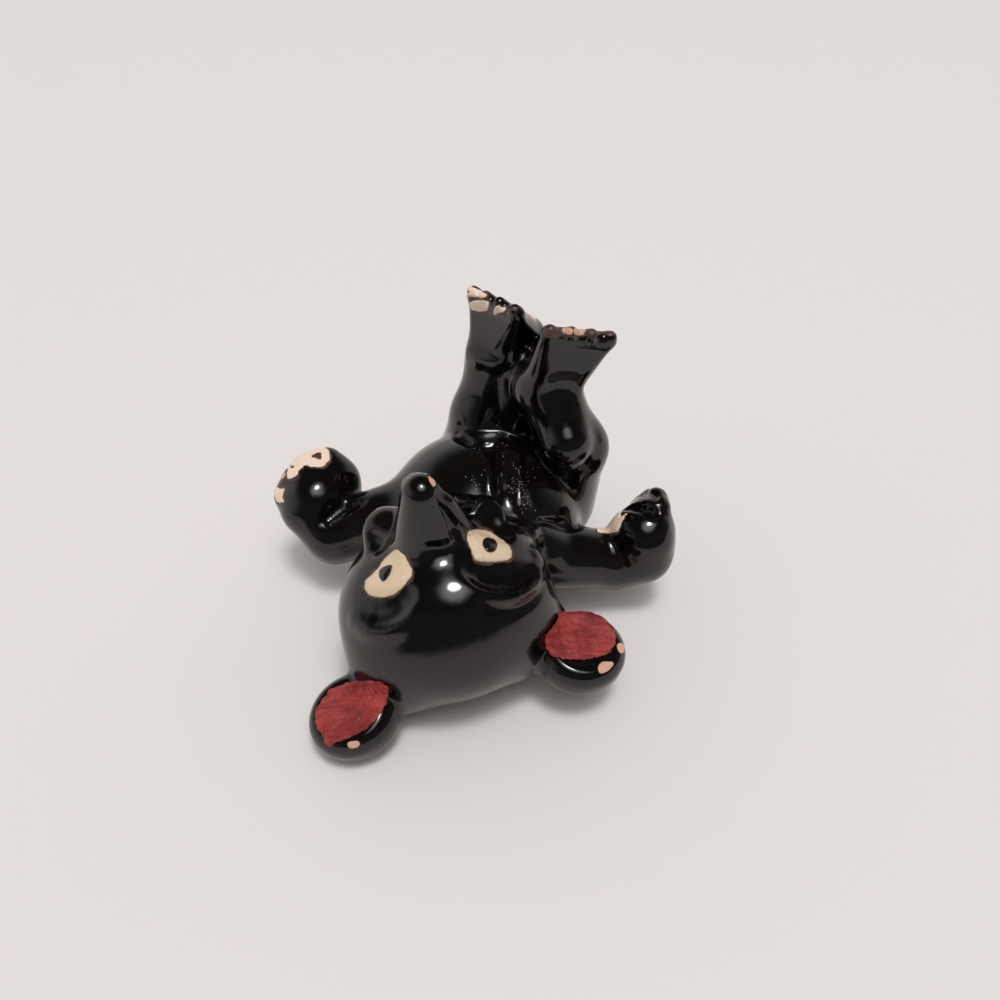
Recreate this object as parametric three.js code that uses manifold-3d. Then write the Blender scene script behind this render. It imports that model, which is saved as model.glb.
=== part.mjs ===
// Glazed redware bear that lies on its back with its legs in the air.
// Millimetres, +Z up. The origin is the middle of the flat under the torso, +Y runs from
// the head to the rump, and +X points to the bear's right.
// Each clay casting is a union of balls and tapers, and is cut by the casting it is luted to.
import * as THREE from "three";
import { ConvexGeometry } from "three/addons/geometries/ConvexGeometry.js";
import { mergeVertices } from "three/addons/utils/BufferGeometryUtils.js";
import Module from "manifold-3d";

const wasm = await Module();
wasm.setup();

// Slip casting
const wall = 3.2; // shell thickness of the torso and head
const seam = 0.3; // slip between two luted castings, and under a paint layer
const fettle = 1.2; // depth ground off the underside, so that it rests flat
const ventRadius = 2.6; // hole that lets steam out in the kiln
const ventOffset = 11; // from the middle of the flat
const neckBore = 6; // radius of the passage between head and torso

// Torso, half sizes of its two masses
const bellyHalfWidth = 22.4;
const bellyHalfLength = 21;
const bellyHalfHeight = 19.4;
const rumpHalfWidth = 18;
const rumpHalfLength = 16;
const rumpHalfHeight = 14.4;
const rumpOffset = 14.8; // from the belly's middle to the rump's, in plan
const rumpAzimuth = 62; // the way the spine runs, in degrees from +X towards +Y
const tailRadius = 3.4;
const tailTipRadius = 2.7;
const tailLength = 3;
const tailDrop = 12; // degrees below the rump's middle
const tailLift = 10; // degrees that the tail points up

// Head, half sizes of the skull, and how the head lies
const skullHalfWidth = 22;
const skullHalfDepth = 18;
const skullHalfHeight = 20;
const skullRise = 1.2; // how far the skull's mass sits above the middle of the face
const templeRadius = 10.6; // broad corners of the crown, beside the ears
const templeSpread = 12.6;
const templeSetBack = 6; // behind the middle of the head
const templeRise = 8.6;
const headHeight = 20; // middle of the face above the table, so that the head rests too
const neckSink = 10.7; // how far the skull would reach into the belly
const headAzimuth = 257; // where the head lies, seen from the belly
const headTurn = 15.5; // degrees about +Z
const headRoll = -7.2; // degrees about the line from chin to crown
const headTip = 15.3; // degrees that the crown tips down

// Face
const muzzleRadius = 8.6;
const muzzleLength = 18;
const muzzleDrop = 4; // below the skull's middle
const muzzleSink = 6; // how deep the muzzle and jaw start under the face
const muzzleDip = 1.8; // how far the nose hangs below the muzzle's root
const noseRadius = 3.5;
const jawRadius = 6.4;
const jawTipRadius = 3.4;
const jawLength = 9.6;
const jawDrop = 9.8;
const jawDip = 2.8;
const cheekRadius = 5;
const cheekSpread = 10.8; // from the middle of the face
const cheekDrop = 10;
const cheekProud = 0.4; // how far a cheek's middle stands out of the skull's skin
const browRadius = 2.2;
const browSpread = 10.6; // from the middle of the face to the middle of the arch
const browHalfWidth = 8.2;
const browHeight = 7.8;
const browStart = 158; // degrees around the arch, from its outer end
const browEnd = -10;
const browSteps = 4;
const browProud = 0.4;
const eyeHalfLength = 5.6;
const eyeHalfHeight = 3.5;
const eyeHalfDepth = 1.5;
const eyeSpread = 10;
const eyeRise = 1.2;
const eyeSlant = 34; // degrees that the inner corner drops
const eyeFlare = 20; // degrees that an eye turns outwards
const eyeProud = 0.3;
const pupilHalfWidth = 1.5;
const pupilHalfHeight = 2.1;
const pupilHalfDepth = 0.7;
const edgeShare = 0.04; // keeps a piece at the skull's edge from falling behind the face

// Ears
const earHalfWidth = 9.2;
const earHalfHeight = 8.4;
const earThickness = 9.4;
const earEdge = 4.2; // rounding of the rim
const earDish = 1.3; // depth of the hollow in front
const earRim = 1.6; // width of the rim around the hollow
const earStand = 3.05; // from the temple's skin to the ear's middle
const earAngle = 39; // degrees around the temple, from the side up to the crown
const earFlare = 12; // degrees that an ear turns outwards
const liningThickness = 0.7; // red paint in the hollow

// Arms
const leftShoulderSink = 7.6; // how deep a shoulder's middle lies under the belly's skin
const rightShoulderSink = 4;
const shoulderRadius = 8;
const elbowRadius = 7;
const wristRadius = 6.3;
const leftUpperArm = 21;
const leftForearm = 8;
const rightUpperArm = 19;
const rightForearm = 6.4;
const pawHalfWidth = 9.6;
const pawHalfLength = 8.6;
const pawHalfDepth = 7.6;
const pawReach = 5.1; // wrist to the paw's middle
const fingerRadius = 2.7;
const fingerPitch = 4.2;
const fingerProud = 0.6; // how far the middle fingers pass the paw's ball
const fingerSetBack = 0.8; // how much shorter the outer ones are, times their place squared
const palmRise = 5.8; // height of the right hand's ball over its heel
const palmRadius = 5.4;
const curlReach = 5; // from the ball to the tip of the longest finger
const curlSetBack = 1.3;
const curlLongest = 1.4; // place of the longest finger, counted from the first
const curlPitch = 3;
const curlStart = 1.6; // how far the first finger lies before the palm's middle
const curlRootRadius = 3.7;
const curlRadius = 2.7;

// Legs
const thighRadius = 12.2;
const kneeRadius = 7.3;
const ankleRadius = 6.2;
const thighLength = 19.5;
const shinLength = 15.4;
const hipSink = 7.6; // how deep a hip's middle lies under the rump's skin
const heelRadius = 3.8;
const heelReach = 8.2; // ankle to heel
const soleRadius = 2.4; // half the thickness of the foot at the roots of the toes
const footLength = 13; // heel to the roots of the toes
const toeRadius = 2.3;
const toeLength = 1.2;
const toePitch = 4.3;
const toeSetBack = 0.4; // how much shorter the outer toes are
const webRadius = 5.4; // web of clay that fills the fork between the legs
const webTopRadius = 3.6;
const webLean = 0.56; // share of the way from the left leg to the right one

// Paint pads on the palms and soles
const padHalfThickness = 1.1;
const padSink = 0.7; // how far a pad's middle lies under the skin
const palmPadRadius = 5.4;
const handPadRadius = 3.4;
const solePadHalfLength = 5.2;
const solePadHalfWidth = 4.8;
const solePadReach = 7.2; // from the heel to the pad's middle

// Places of four toes or fingers, counted in pitches from the middle of the row
const rowOfFour = [-1.5, -0.5, 0.5, 1.5];

// How finely round things are faceted
const ballSides = 20;
const taperSides = 14;
const smallSides = 10;
const fewSides = 8;
const capSteps = 3;

const glaze = new THREE.MeshStandardMaterial({ color: 0x120d0c, roughness: 0.08, metalness: 0 });
const cream = new THREE.MeshStandardMaterial({ color: 0xe9d3ae, roughness: 0.45, metalness: 0 });
const black = new THREE.MeshStandardMaterial({ color: 0x0a0808, roughness: 0.12, metalness: 0 });
const red = new THREE.MeshStandardMaterial({ color: 0xa52a2a, roughness: 0.6, metalness: 0 });

const vec = (x, y, z) => new THREE.Vector3(x, y, z);
const rad = THREE.MathUtils.degToRad;

// A unit vector from its azimuth, measured from +X towards +Y, and its elevation.
function aim(azimuth, elevation) {
  const flat = Math.cos(rad(elevation));
  return vec(Math.cos(rad(azimuth)) * flat, Math.sin(rad(azimuth)) * flat, Math.sin(rad(elevation)));
}

// A closed three.js geometry as a solid that can be cut and joined.
function solid(geometry) {
  geometry.deleteAttribute("normal");
  geometry.deleteAttribute("uv");
  const merged = mergeVertices(geometry, 1e-4);
  const corners = merged.index.array;
  const kept = [];
  for (let i = 0; i < corners.length; i += 3) {
    const [a, b, c] = corners.slice(i, i + 3);
    if (a !== b && b !== c && c !== a) kept.push(a, b, c);
  }
  return new wasm.Manifold(
    new wasm.Mesh({
      numProp: 3,
      vertProperties: new Float32Array(merged.attributes.position.array),
      triVerts: new Uint32Array(kept),
    }),
  );
}

// An ellipsoid with its half sizes along the axes of a turned frame.
function ball(centre, halves, turn = new THREE.Quaternion(), sides = ballSides) {
  const geometry = new THREE.SphereGeometry(1, sides, sides / 2);
  const matrix = new THREE.Matrix4().compose(centre, turn, halves);
  return solid(geometry.applyMatrix4(matrix));
}

// A round-ended taper from one point to another.
function taper(from, fromRadius, to, toRadius, sides = taperSides) {
  const span = from.distanceTo(to);
  const lean = Math.asin(THREE.MathUtils.clamp((fromRadius - toRadius) / span, -0.95, 0.95));
  const profile = [];
  for (let i = 0; i <= capSteps; i++) {
    const angle = -Math.PI / 2 + ((lean + Math.PI / 2) * i) / capSteps;
    profile.push(new THREE.Vector2(fromRadius * Math.cos(angle), fromRadius * Math.sin(angle)));
  }
  for (let i = 0; i <= capSteps; i++) {
    const angle = lean + ((Math.PI / 2 - lean) * i) / capSteps;
    profile.push(new THREE.Vector2(toRadius * Math.cos(angle), span + toRadius * Math.sin(angle)));
  }
  profile[0].x = 0;
  profile[profile.length - 1].x = 0;
  const geometry = new THREE.LatheGeometry(profile, sides);
  const direction = to.clone().sub(from).normalize();
  const turn = new THREE.Quaternion().setFromUnitVectors(vec(0, 1, 0), direction);
  return solid(geometry.applyMatrix4(new THREE.Matrix4().compose(from, turn, vec(1, 1, 1))));
}

// The tight skin around some balls, each given as a centre and a radius.
function hull(balls) {
  const points = [];
  for (const [centre, radius] of balls) {
    const corners = new THREE.SphereGeometry(radius, smallSides, smallSides / 2).attributes.position;
    for (let i = 0; i < corners.count; i++) {
      points.push(new THREE.Vector3().fromBufferAttribute(corners, i).add(centre));
    }
  }
  return solid(new ConvexGeometry(points));
}

// A disc with its axis along Y, turned from a profile.
function disc(profile, sides) {
  return solid(new THREE.LatheGeometry(profile, sides));
}

const join = (parts) => parts.reduce((whole, part) => whole.add(part));
const moved = (part, matrix) => part.transform(matrix.elements);

// Hangs a solid in a group as a named mesh whose own origin is the anchor.
function piece(name, part, material, group, anchor = vec(0, 0, 0)) {
  const made = part.translate([-anchor.x, -anchor.y, -anchor.z]).getMesh();
  const geometry = new THREE.BufferGeometry();
  geometry.setAttribute("position", new THREE.BufferAttribute(made.vertProperties, 3));
  geometry.setIndex(new THREE.BufferAttribute(made.triVerts, 1));
  geometry.computeVertexNormals();
  const mesh = new THREE.Mesh(geometry, material);
  mesh.name = name;
  mesh.position.copy(anchor);
  group.add(mesh);
}

// An ellipsoid mass of the torso, kept as numbers so that limbs can be seated on it.
const mass = (centre, halves, turn) => ({ centre, halves, turn });

// A point on a mass in the direction given in its own frame, sunk below its skin.
function seat(form, azimuth, elevation, sink) {
  const out = aim(azimuth, elevation).multiply(form.halves);
  out.setLength(Math.max(out.length() - sink, 0));
  return out.applyQuaternion(form.turn).add(form.centre);
}

const spine = new THREE.Quaternion().setFromAxisAngle(vec(0, 0, 1), rad(rumpAzimuth - 90));
const belly = mass(
  vec(0, 0, bellyHalfHeight - fettle),
  vec(bellyHalfWidth, bellyHalfLength, bellyHalfHeight),
  new THREE.Quaternion(),
);
const rump = mass(
  aim(rumpAzimuth, 0).multiplyScalar(rumpOffset).setZ(rumpHalfHeight - fettle),
  vec(rumpHalfWidth, rumpHalfLength, rumpHalfHeight),
  spine,
);

// The torso's outside when grow is 0, grown evenly by a positive grow, or its bore by a negative one.
function torsoForm(grow, sides = ballSides) {
  const fat = vec(grow, grow, grow);
  return join([belly, rump].map((m) => ball(m.centre, m.halves.clone().add(fat), m.turn, sides)));
}

function tail() {
  const root = seat(rump, 90, -tailDrop, tailRadius);
  const tip = root.clone().addScaledVector(aim(rumpAzimuth, tailLift), tailLength);
  return taper(root, tailRadius, tip, tailTipRadius);
}

// Where the head lies
const head = new THREE.Group();
head.position
  .copy(seat(belly, headAzimuth, 0, 0))
  .addScaledVector(aim(headAzimuth, 0), skullHalfHeight - neckSink)
  .setZ(headHeight);
head.quaternion
  .setFromEuler(new THREE.Euler(rad(headTip), rad(headRoll), rad(headTurn), "ZYX"))
  .multiply(new THREE.Quaternion().setFromAxisAngle(vec(1, 0, 0), Math.PI / 2));
head.updateMatrix();

// In the head's own frame +X is the bear's right, +Y leaves the face and +Z runs to the crown.
function skullForm(grow, sides = ballSides) {
  const halves = vec(skullHalfWidth + grow, skullHalfDepth + grow, skullHalfHeight + grow);
  return ball(vec(0, 0, skullRise), halves, undefined, sides);
}

// The broad corners of the crown, which carry the ears.
const templePlace = (side) => vec(side * templeSpread, -templeSetBack, templeRise);

function templeForm(grow) {
  const halves = vec(templeRadius + grow, templeRadius + grow, templeRadius + grow);
  return join([-1, 1].map((side) => ball(templePlace(side), halves, undefined, taperSides)));
}

// How far the skull's main mass stands forward at a place on the face.
function faceDepth(x, z) {
  const rest = 1 - (x / skullHalfWidth) ** 2 - ((z - skullRise) / skullHalfHeight) ** 2;
  return skullHalfDepth * Math.sqrt(Math.max(rest, edgeShare));
}

// A brow is an arch of tapers that follows the skull around the top of an eye.
function brow(side, grow) {
  const points = [];
  for (let i = 0; i <= browSteps; i++) {
    const angle = browStart + ((browEnd - browStart) * i) / browSteps;
    const x = browSpread + browHalfWidth * Math.cos(rad(angle));
    const z = eyeRise + browHeight * Math.sin(rad(angle));
    points.push(vec(side * x, faceDepth(x, z) + browProud, z));
  }
  const tapers = [];
  for (let i = 0; i < browSteps; i++) {
    tapers.push(taper(points[i], browRadius + grow, points[i + 1], browRadius + grow, fewSides));
  }
  return join(tapers);
}

// Muzzle, jaw, cheeks and brows, which are cast with the skull.
function faceForm(grow) {
  const muzzleRoot = vec(0, skullHalfDepth - muzzleSink, -muzzleDrop);
  const nose = muzzleRoot.clone().add(vec(0, muzzleLength, -muzzleDip));
  const jawRoot = vec(0, skullHalfDepth - muzzleSink, -jawDrop);
  const chin = jawRoot.clone().add(vec(0, jawLength, -jawDip));
  const parts = [
    taper(muzzleRoot, muzzleRadius + grow, nose, noseRadius + grow),
    taper(jawRoot, jawRadius + grow, chin, jawTipRadius + grow, smallSides),
  ];
  for (const side of [-1, 1]) {
    const cheek = cheekRadius + grow;
    const place = vec(side * cheekSpread, faceDepth(cheekSpread, -cheekDrop) + cheekProud, -cheekDrop);
    parts.push(ball(place, vec(cheek, cheek, cheek), undefined, smallSides), brow(side, grow));
  }
  return join(parts);
}

// An ear is a thick rounded disc, dished in front. Its axis is Y, with the hollow facing +Y.
function earDisc() {
  const half = earThickness / 2;
  const points = [new THREE.Vector2(0, -half)];
  for (const corner of [-1, 1]) {
    for (let i = 0; i <= capSteps; i++) {
      const angle = ((corner - 1) / 2 + i / capSteps) * (Math.PI / 2);
      const out = earHalfWidth - earEdge + earEdge * Math.cos(angle);
      const middle = corner * (half - earEdge);
      points.push(new THREE.Vector2(out, middle + earEdge * Math.sin(angle)));
    }
  }
  points.push(new THREE.Vector2(0, half));
  return disc(points, ballSides);
}

// The lens-shaped hollow of an ear, or the paint in it when it is smaller by an inset.
function hollowForm(inset, thickness) {
  const radius = earHalfWidth - earRim - inset;
  const profile = [];
  for (let i = 0; i <= capSteps; i++) {
    const share = i / capSteps;
    const depth = (earDish - inset) * (1 - share * share);
    profile.push(new THREE.Vector2(radius * share, earThickness / 2 - depth));
  }
  const back = profile.map((point) => new THREE.Vector2(point.x, point.y + thickness));
  return disc([...profile, ...back.reverse()], ballSides);
}

// Where an ear stands on its temple. It is a little wider than it is tall.
function earMatrix(side) {
  const turn = new THREE.Quaternion().setFromAxisAngle(vec(0, 0, 1), rad(-side * earFlare));
  const squash = vec(1, 1, earHalfHeight / earHalfWidth);
  const out = vec(side * Math.cos(rad(earAngle)), 0, Math.sin(rad(earAngle)));
  const middle = templePlace(side).addScaledVector(out, templeRadius + earStand);
  return new THREE.Matrix4().compose(middle, turn, squash);
}

// An eye is a slanted lens of cream paint set in a shallow socket, with a black pupil on it.
const eyePlace = (side) => vec(side * eyeSpread, faceDepth(eyeSpread, eyeRise) + eyeProud, eyeRise);

function eyeForm(side, grow) {
  const turn = new THREE.Quaternion()
    .setFromAxisAngle(vec(0, 0, 1), rad(-side * eyeFlare))
    .multiply(new THREE.Quaternion().setFromAxisAngle(vec(0, 1, 0), rad(-side * eyeSlant)));
  const halves = vec(eyeHalfLength + grow, eyeHalfDepth + grow, eyeHalfHeight + grow);
  return ball(eyePlace(side), halves, turn, taperSides);
}

function pupilForm(side, grow) {
  const turn = new THREE.Quaternion().setFromAxisAngle(vec(0, 0, 1), rad(-side * eyeFlare));
  const out = vec(0, eyeHalfDepth, 0).applyQuaternion(turn);
  const halves = vec(pupilHalfWidth + grow, pupilHalfDepth + grow, pupilHalfHeight + grow);
  return ball(eyePlace(side).add(out), halves, turn, smallSides);
}

// A foot is a wedge that flares from the ankle to the heel and a row of four toes.
function footForm(leg, grow) {
  const toes = rowOfFour.map((step) =>
    leg.heel
      .clone()
      .addScaledVector(leg.along, footLength - toeSetBack * Math.abs(step))
      .addScaledVector(leg.across, step * toePitch),
  );
  const wedge = hull([
    [leg.ankle, ankleRadius + grow],
    [leg.heel, heelRadius + grow],
    [toes[0], soleRadius + grow],
    [toes[3], soleRadius + grow],
  ]);
  const tips = toes.map((toe) => {
    const tip = toe.clone().addScaledVector(leg.along, toeLength);
    return taper(toe, toeRadius + grow, tip, toeRadius + grow, fewSides);
  });
  return join([wedge, ...tips]);
}

// A leg as a chain from the hip to its foot.
function legForm(leg, grow) {
  return join([
    taper(leg.hip, thighRadius + grow, leg.knee, kneeRadius + grow),
    taper(leg.knee, kneeRadius + grow, leg.ankle, ankleRadius + grow),
    footForm(leg, grow),
  ]);
}

// The bones of a leg. Across runs along the toes, square to the foot.
function legBones(hip, thighAim, shinAim, heelAim, footAim, toeAim) {
  const knee = hip.clone().addScaledVector(thighAim, thighLength);
  const ankle = knee.clone().addScaledVector(shinAim, shinLength);
  const heel = ankle.clone().addScaledVector(heelAim, heelReach);
  const across = toeAim.clone().addScaledVector(footAim, -toeAim.dot(footAim)).normalize();
  return { hip, knee, ankle, heel, along: footAim, across };
}

const rightLeg = legBones(
  seat(rump, 3, 29, hipSink),
  aim(-45, 66),
  aim(161, 69),
  aim(84, 66),
  aim(-68, 31),
  aim(-9, 2),
);
const leftLeg = legBones(
  seat(rump, 177, 29, hipSink),
  aim(-73, 82),
  aim(17, 77),
  aim(-4, 40),
  aim(-140, 46),
  aim(-33, -14),
);

// The left arm reaches out and folds up at the elbow, with the palm turned away.
const leftShoulder = seat(belly, 188.7, 16, leftShoulderSink);
const leftElbow = leftShoulder.clone().addScaledVector(aim(183, -17), leftUpperArm);
const leftWrist = leftElbow.clone().addScaledVector(aim(158, 37), leftForearm);
const leftPaw = leftWrist.clone().addScaledVector(aim(62, 18), pawReach);
const leftFingers = aim(151, 40);
const leftKnuckles = aim(35, 27);

// A turn that lays X along the knuckles and Y along the fingers, which need not be quite square.
function pawTurn(fingers, knuckles) {
  const out = knuckles.clone().cross(fingers).normalize();
  const side = fingers.clone().cross(out).normalize();
  return new THREE.Quaternion().setFromRotationMatrix(new THREE.Matrix4().makeBasis(side, fingers, out));
}

function leftArmForm(grow) {
  const pawHalves = vec(pawHalfWidth + grow, pawHalfLength + grow, pawHalfDepth + grow);
  const parts = [
    taper(leftShoulder, shoulderRadius + grow, leftElbow, elbowRadius + grow),
    taper(leftElbow, elbowRadius + grow, leftWrist, wristRadius + grow),
    ball(leftPaw, pawHalves, pawTurn(leftFingers, leftKnuckles), taperSides),
  ];
  for (const step of rowOfFour) {
    const root = leftPaw.clone().addScaledVector(leftKnuckles, step * fingerPitch);
    const reach = pawHalfLength - fingerRadius + fingerProud - fingerSetBack * step * step;
    const tip = root.clone().addScaledVector(leftFingers, reach);
    parts.push(taper(root, fingerRadius + grow, tip, fingerRadius + grow, fewSides));
  }
  return join(parts);
}

// The right arm reaches out, and its hand stands up with the fingers curled over the palm.
const rightShoulder = seat(belly, -49, -2.4, rightShoulderSink);
const rightWrist = rightShoulder.clone().addScaledVector(aim(10, -14), rightUpperArm);
const rightHand = rightWrist.clone().addScaledVector(aim(0, 18), rightForearm);
const rightPalm = rightHand.clone().addScaledVector(aim(117, 80), palmRise);
const rightFingers = aim(15, 73);
const rightKnuckles = aim(95, 4);

function rightArmForm(grow) {
  const parts = [
    taper(rightShoulder, shoulderRadius + grow, rightWrist, wristRadius + grow),
    taper(rightWrist, wristRadius + grow, rightHand, wristRadius + grow),
    taper(rightHand, wristRadius + grow, rightPalm, palmRadius + grow),
  ];
  for (const step of [0, 1, 2, 3]) {
    const root = rightPalm.clone().addScaledVector(rightKnuckles, step * curlPitch - curlStart);
    const reach = curlReach - curlSetBack * (step - curlLongest) ** 2;
    const tip = root.clone().addScaledVector(rightFingers, reach);
    parts.push(taper(root, curlRootRadius + grow, tip, curlRadius + grow, fewSides));
  }
  return join(parts);
}

// A lens of paint on a palm or sole, lying across the direction out.
function padForm(centre, out, across, halfAcross, halfAlong, grow) {
  const side = across.clone().addScaledVector(out, -across.dot(out)).normalize();
  const along = out.clone().cross(side).normalize();
  const turn = new THREE.Quaternion().setFromRotationMatrix(new THREE.Matrix4().makeBasis(side, along, out));
  return ball(centre, vec(halfAcross + grow, halfAlong + grow, padHalfThickness + grow), turn, smallSides);
}

function solePad(leg, grow) {
  const out = leg.along.clone().cross(leg.across).normalize();
  const skin = THREE.MathUtils.lerp(heelRadius, soleRadius, solePadReach / footLength);
  const centre = leg.heel
    .clone()
    .addScaledVector(leg.along, solePadReach)
    .addScaledVector(out, skin - padSink);
  return padForm(centre, out, leg.across, solePadHalfWidth, solePadHalfLength, grow);
}

function leftPalmPad(grow) {
  const out = leftFingers.clone().cross(leftKnuckles).normalize();
  const centre = leftPaw.clone().addScaledVector(out, pawHalfDepth - padSink);
  return padForm(centre, out, leftKnuckles, palmPadRadius, palmPadRadius, grow);
}

function rightPalmPad(grow) {
  const out = aim(172, 8);
  const centre = rightPalm.clone().addScaledVector(out, palmRadius - padSink);
  return padForm(centre, out, rightKnuckles, handPadRadius, handPadRadius, grow);
}

// What the kiln shelf and the grinding take off everything below the resting plane.
const shelfWidth = 400;
const shelfDepth = 60;
const shelfBox = new THREE.BoxGeometry(shelfWidth, shelfWidth, shelfDepth);
const shelf = solid(shelfBox).translate([0, 0, -shelfDepth / 2]);

const headShape = (grow) => moved(join([skullForm(grow), templeForm(grow), faceForm(grow)]), head.matrix);

// The passage that lets steam out of the head.
const neck = taper(belly.centre, neckBore, head.position, neckBore, smallSides);

function torso() {
  const ventPlace = aim(rumpAzimuth, 0).multiplyScalar(ventOffset);
  const vent = taper(ventPlace, ventRadius, ventPlace.clone().setZ(wall), ventRadius, smallSides);
  const shell = torsoForm(0).add(tail()).subtract(torsoForm(-wall, taperSides));
  return shell.subtract(join([neck, vent, shelf]));
}

function skull() {
  const hollow = moved(skullForm(-wall, smallSides), head.matrix);
  const sockets = [-1, 1].map((side) => moved(eyeForm(side, seam), head.matrix));
  return headShape(0).subtract(hollow).subtract(join([...sockets, neck, torsoForm(seam), shelf]));
}

function ear(side) {
  const whole = moved(earDisc().subtract(hollowForm(0, earThickness)), earMatrix(side));
  const trimmed = whole.subtract(skullForm(seam)).subtract(templeForm(seam));
  return moved(trimmed, head.matrix).subtract(shelf);
}

function earLining(side) {
  const whole = moved(hollowForm(seam, liningThickness), earMatrix(side));
  return moved(whole.subtract(skullForm(seam)).subtract(templeForm(seam)), head.matrix);
}

// The web of clay between the legs, cast with the left one.
function web() {
  const low = leftLeg.hip.clone().lerp(rightLeg.hip, webLean);
  const high = leftLeg.ankle.clone().lerp(rightLeg.ankle, webLean);
  return taper(low, webRadius, high, webTopRadius, smallSides);
}

const neighbours = torsoForm(seam);
const rightLegSolid = legForm(rightLeg, 0).subtract(neighbours).subtract(solePad(rightLeg, seam));
const leftLegSolid = legForm(leftLeg, 0)
  .add(web())
  .subtract(neighbours)
  .subtract(legForm(rightLeg, seam))
  .subtract(solePad(leftLeg, seam));
const besideArms = join([neighbours, headShape(seam), legForm(rightLeg, seam), legForm(leftLeg, seam)]);

const bear = new THREE.Group();
piece("torso", torso(), glaze, bear);
piece("head", skull(), glaze, bear, head.position);
for (const [side, hand] of [[-1, "left"], [1, "right"]]) {
  piece(`${hand}_ear`, ear(side), glaze, bear, head.position);
  piece(`${hand}_ear_lining`, earLining(side), red, bear, head.position);
  const eye = moved(eyeForm(side, 0).subtract(pupilForm(side, seam)), head.matrix);
  piece(`${hand}_eye`, eye, cream, bear, head.position);
  piece(`${hand}_pupil`, moved(pupilForm(side, 0), head.matrix), black, bear, head.position);
}
const leftArmSolid = leftArmForm(0).subtract(join([besideArms, leftPalmPad(seam), shelf]));
const rightArmSolid = rightArmForm(0).subtract(join([besideArms, rightPalmPad(seam), shelf]));
piece("left_arm", leftArmSolid, glaze, bear, leftShoulder);
piece("right_arm", rightArmSolid, glaze, bear, rightShoulder);
piece("left_palm_pad", leftPalmPad(0), cream, bear, leftPaw);
piece("right_palm_pad", rightPalmPad(0), cream, bear, rightHand);
piece("left_leg", leftLegSolid, glaze, bear, leftLeg.hip);
piece("right_leg", rightLegSolid, glaze, bear, rightLeg.hip);
piece("left_sole_pad", solePad(leftLeg, 0), cream, bear, leftLeg.heel);
piece("right_sole_pad", solePad(rightLeg, 0), cream, bear, rightLeg.heel);

export default bear;
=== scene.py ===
import math
import bpy
import numpy as np
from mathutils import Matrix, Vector


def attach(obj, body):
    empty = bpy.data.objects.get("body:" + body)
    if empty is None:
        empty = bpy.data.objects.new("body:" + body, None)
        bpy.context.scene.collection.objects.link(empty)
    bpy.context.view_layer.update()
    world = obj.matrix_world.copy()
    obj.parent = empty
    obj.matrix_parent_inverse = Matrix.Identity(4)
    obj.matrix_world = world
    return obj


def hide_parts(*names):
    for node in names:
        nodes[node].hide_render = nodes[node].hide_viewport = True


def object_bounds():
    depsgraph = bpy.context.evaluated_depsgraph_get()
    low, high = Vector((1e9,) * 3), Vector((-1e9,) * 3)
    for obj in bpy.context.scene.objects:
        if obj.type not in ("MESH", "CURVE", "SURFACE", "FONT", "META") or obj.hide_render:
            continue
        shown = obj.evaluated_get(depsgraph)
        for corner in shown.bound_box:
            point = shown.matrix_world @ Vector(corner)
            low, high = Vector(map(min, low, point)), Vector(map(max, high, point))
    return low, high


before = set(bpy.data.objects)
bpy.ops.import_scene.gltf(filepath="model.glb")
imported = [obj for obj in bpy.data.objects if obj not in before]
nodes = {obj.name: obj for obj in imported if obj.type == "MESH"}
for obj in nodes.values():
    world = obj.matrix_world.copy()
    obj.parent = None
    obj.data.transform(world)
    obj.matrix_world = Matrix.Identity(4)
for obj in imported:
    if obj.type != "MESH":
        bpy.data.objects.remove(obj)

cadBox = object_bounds()
mm = 0.001  # forms are written in millimetres and turned to metres when a mesh is made
tiny, huge = 1e-9, 1e9
print("frame loaded with", len(nodes), "nodes")


# Camera, at the photograph's angle. The photograph is taken as 1000 by 1000.
photo = {
    "size": 1000,
    "lens": 30.6,
    "sensor": 36.0,
    "place": (4.0, -154.03, 143.0),
    "tilt": 38.0,  # degrees that it looks down
    "clip": (0.01, 20.0),
}


def makeCamera():
    data = bpy.data.cameras.new("camera")
    data.lens = photo["lens"]
    data.sensor_width = photo["sensor"]
    data.clip_start, data.clip_end = photo["clip"]
    camera = bpy.data.objects.new("camera", data)
    camera.location = [c * mm for c in photo["place"]]
    camera.rotation_euler = (math.radians(90 - photo["tilt"]), 0, 0)
    bpy.context.scene.collection.objects.link(camera)
    bpy.context.scene.camera = camera


makeCamera()


# Directions and turns
def vec(x, y, z):
    return np.array([x, y, z], float)


def aim(azimuth, elevation):
    a = math.radians(azimuth)
    e = math.radians(elevation)
    return vec(math.cos(a) * math.cos(e), math.sin(a) * math.cos(e), math.sin(e))


def onward(start, azimuth, elevation, length):
    return start + aim(azimuth, elevation) * length


def unit(v):
    return v / np.linalg.norm(v)


def turnAbout(axis, degrees):
    a = math.radians(degrees)
    c, s = math.cos(a), math.sin(a)
    if axis == "x":
        return np.array([[1, 0, 0], [0, c, -s], [0, s, c]])
    if axis == "y":
        return np.array([[c, 0, s], [0, 1, 0], [-s, 0, c]])
    return np.array([[c, -s, 0], [s, c, 0], [0, 0, 1]])


# Distance fields. A form is a function of points that is negative inside the clay.
def ball(centre, halves, turn=None):
    halves = np.broadcast_to(np.asarray(halves, float), 3)

    def field(p):
        q = p - centre
        if turn is not None:
            q = q @ turn  # the columns of turn are the ball's own axes
        near = np.sqrt(((q / halves) ** 2).sum(1))
        slope = np.sqrt(((q / halves**2) ** 2).sum(1))
        return near * (near - 1) / np.maximum(slope, 1e-6)

    return field


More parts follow.
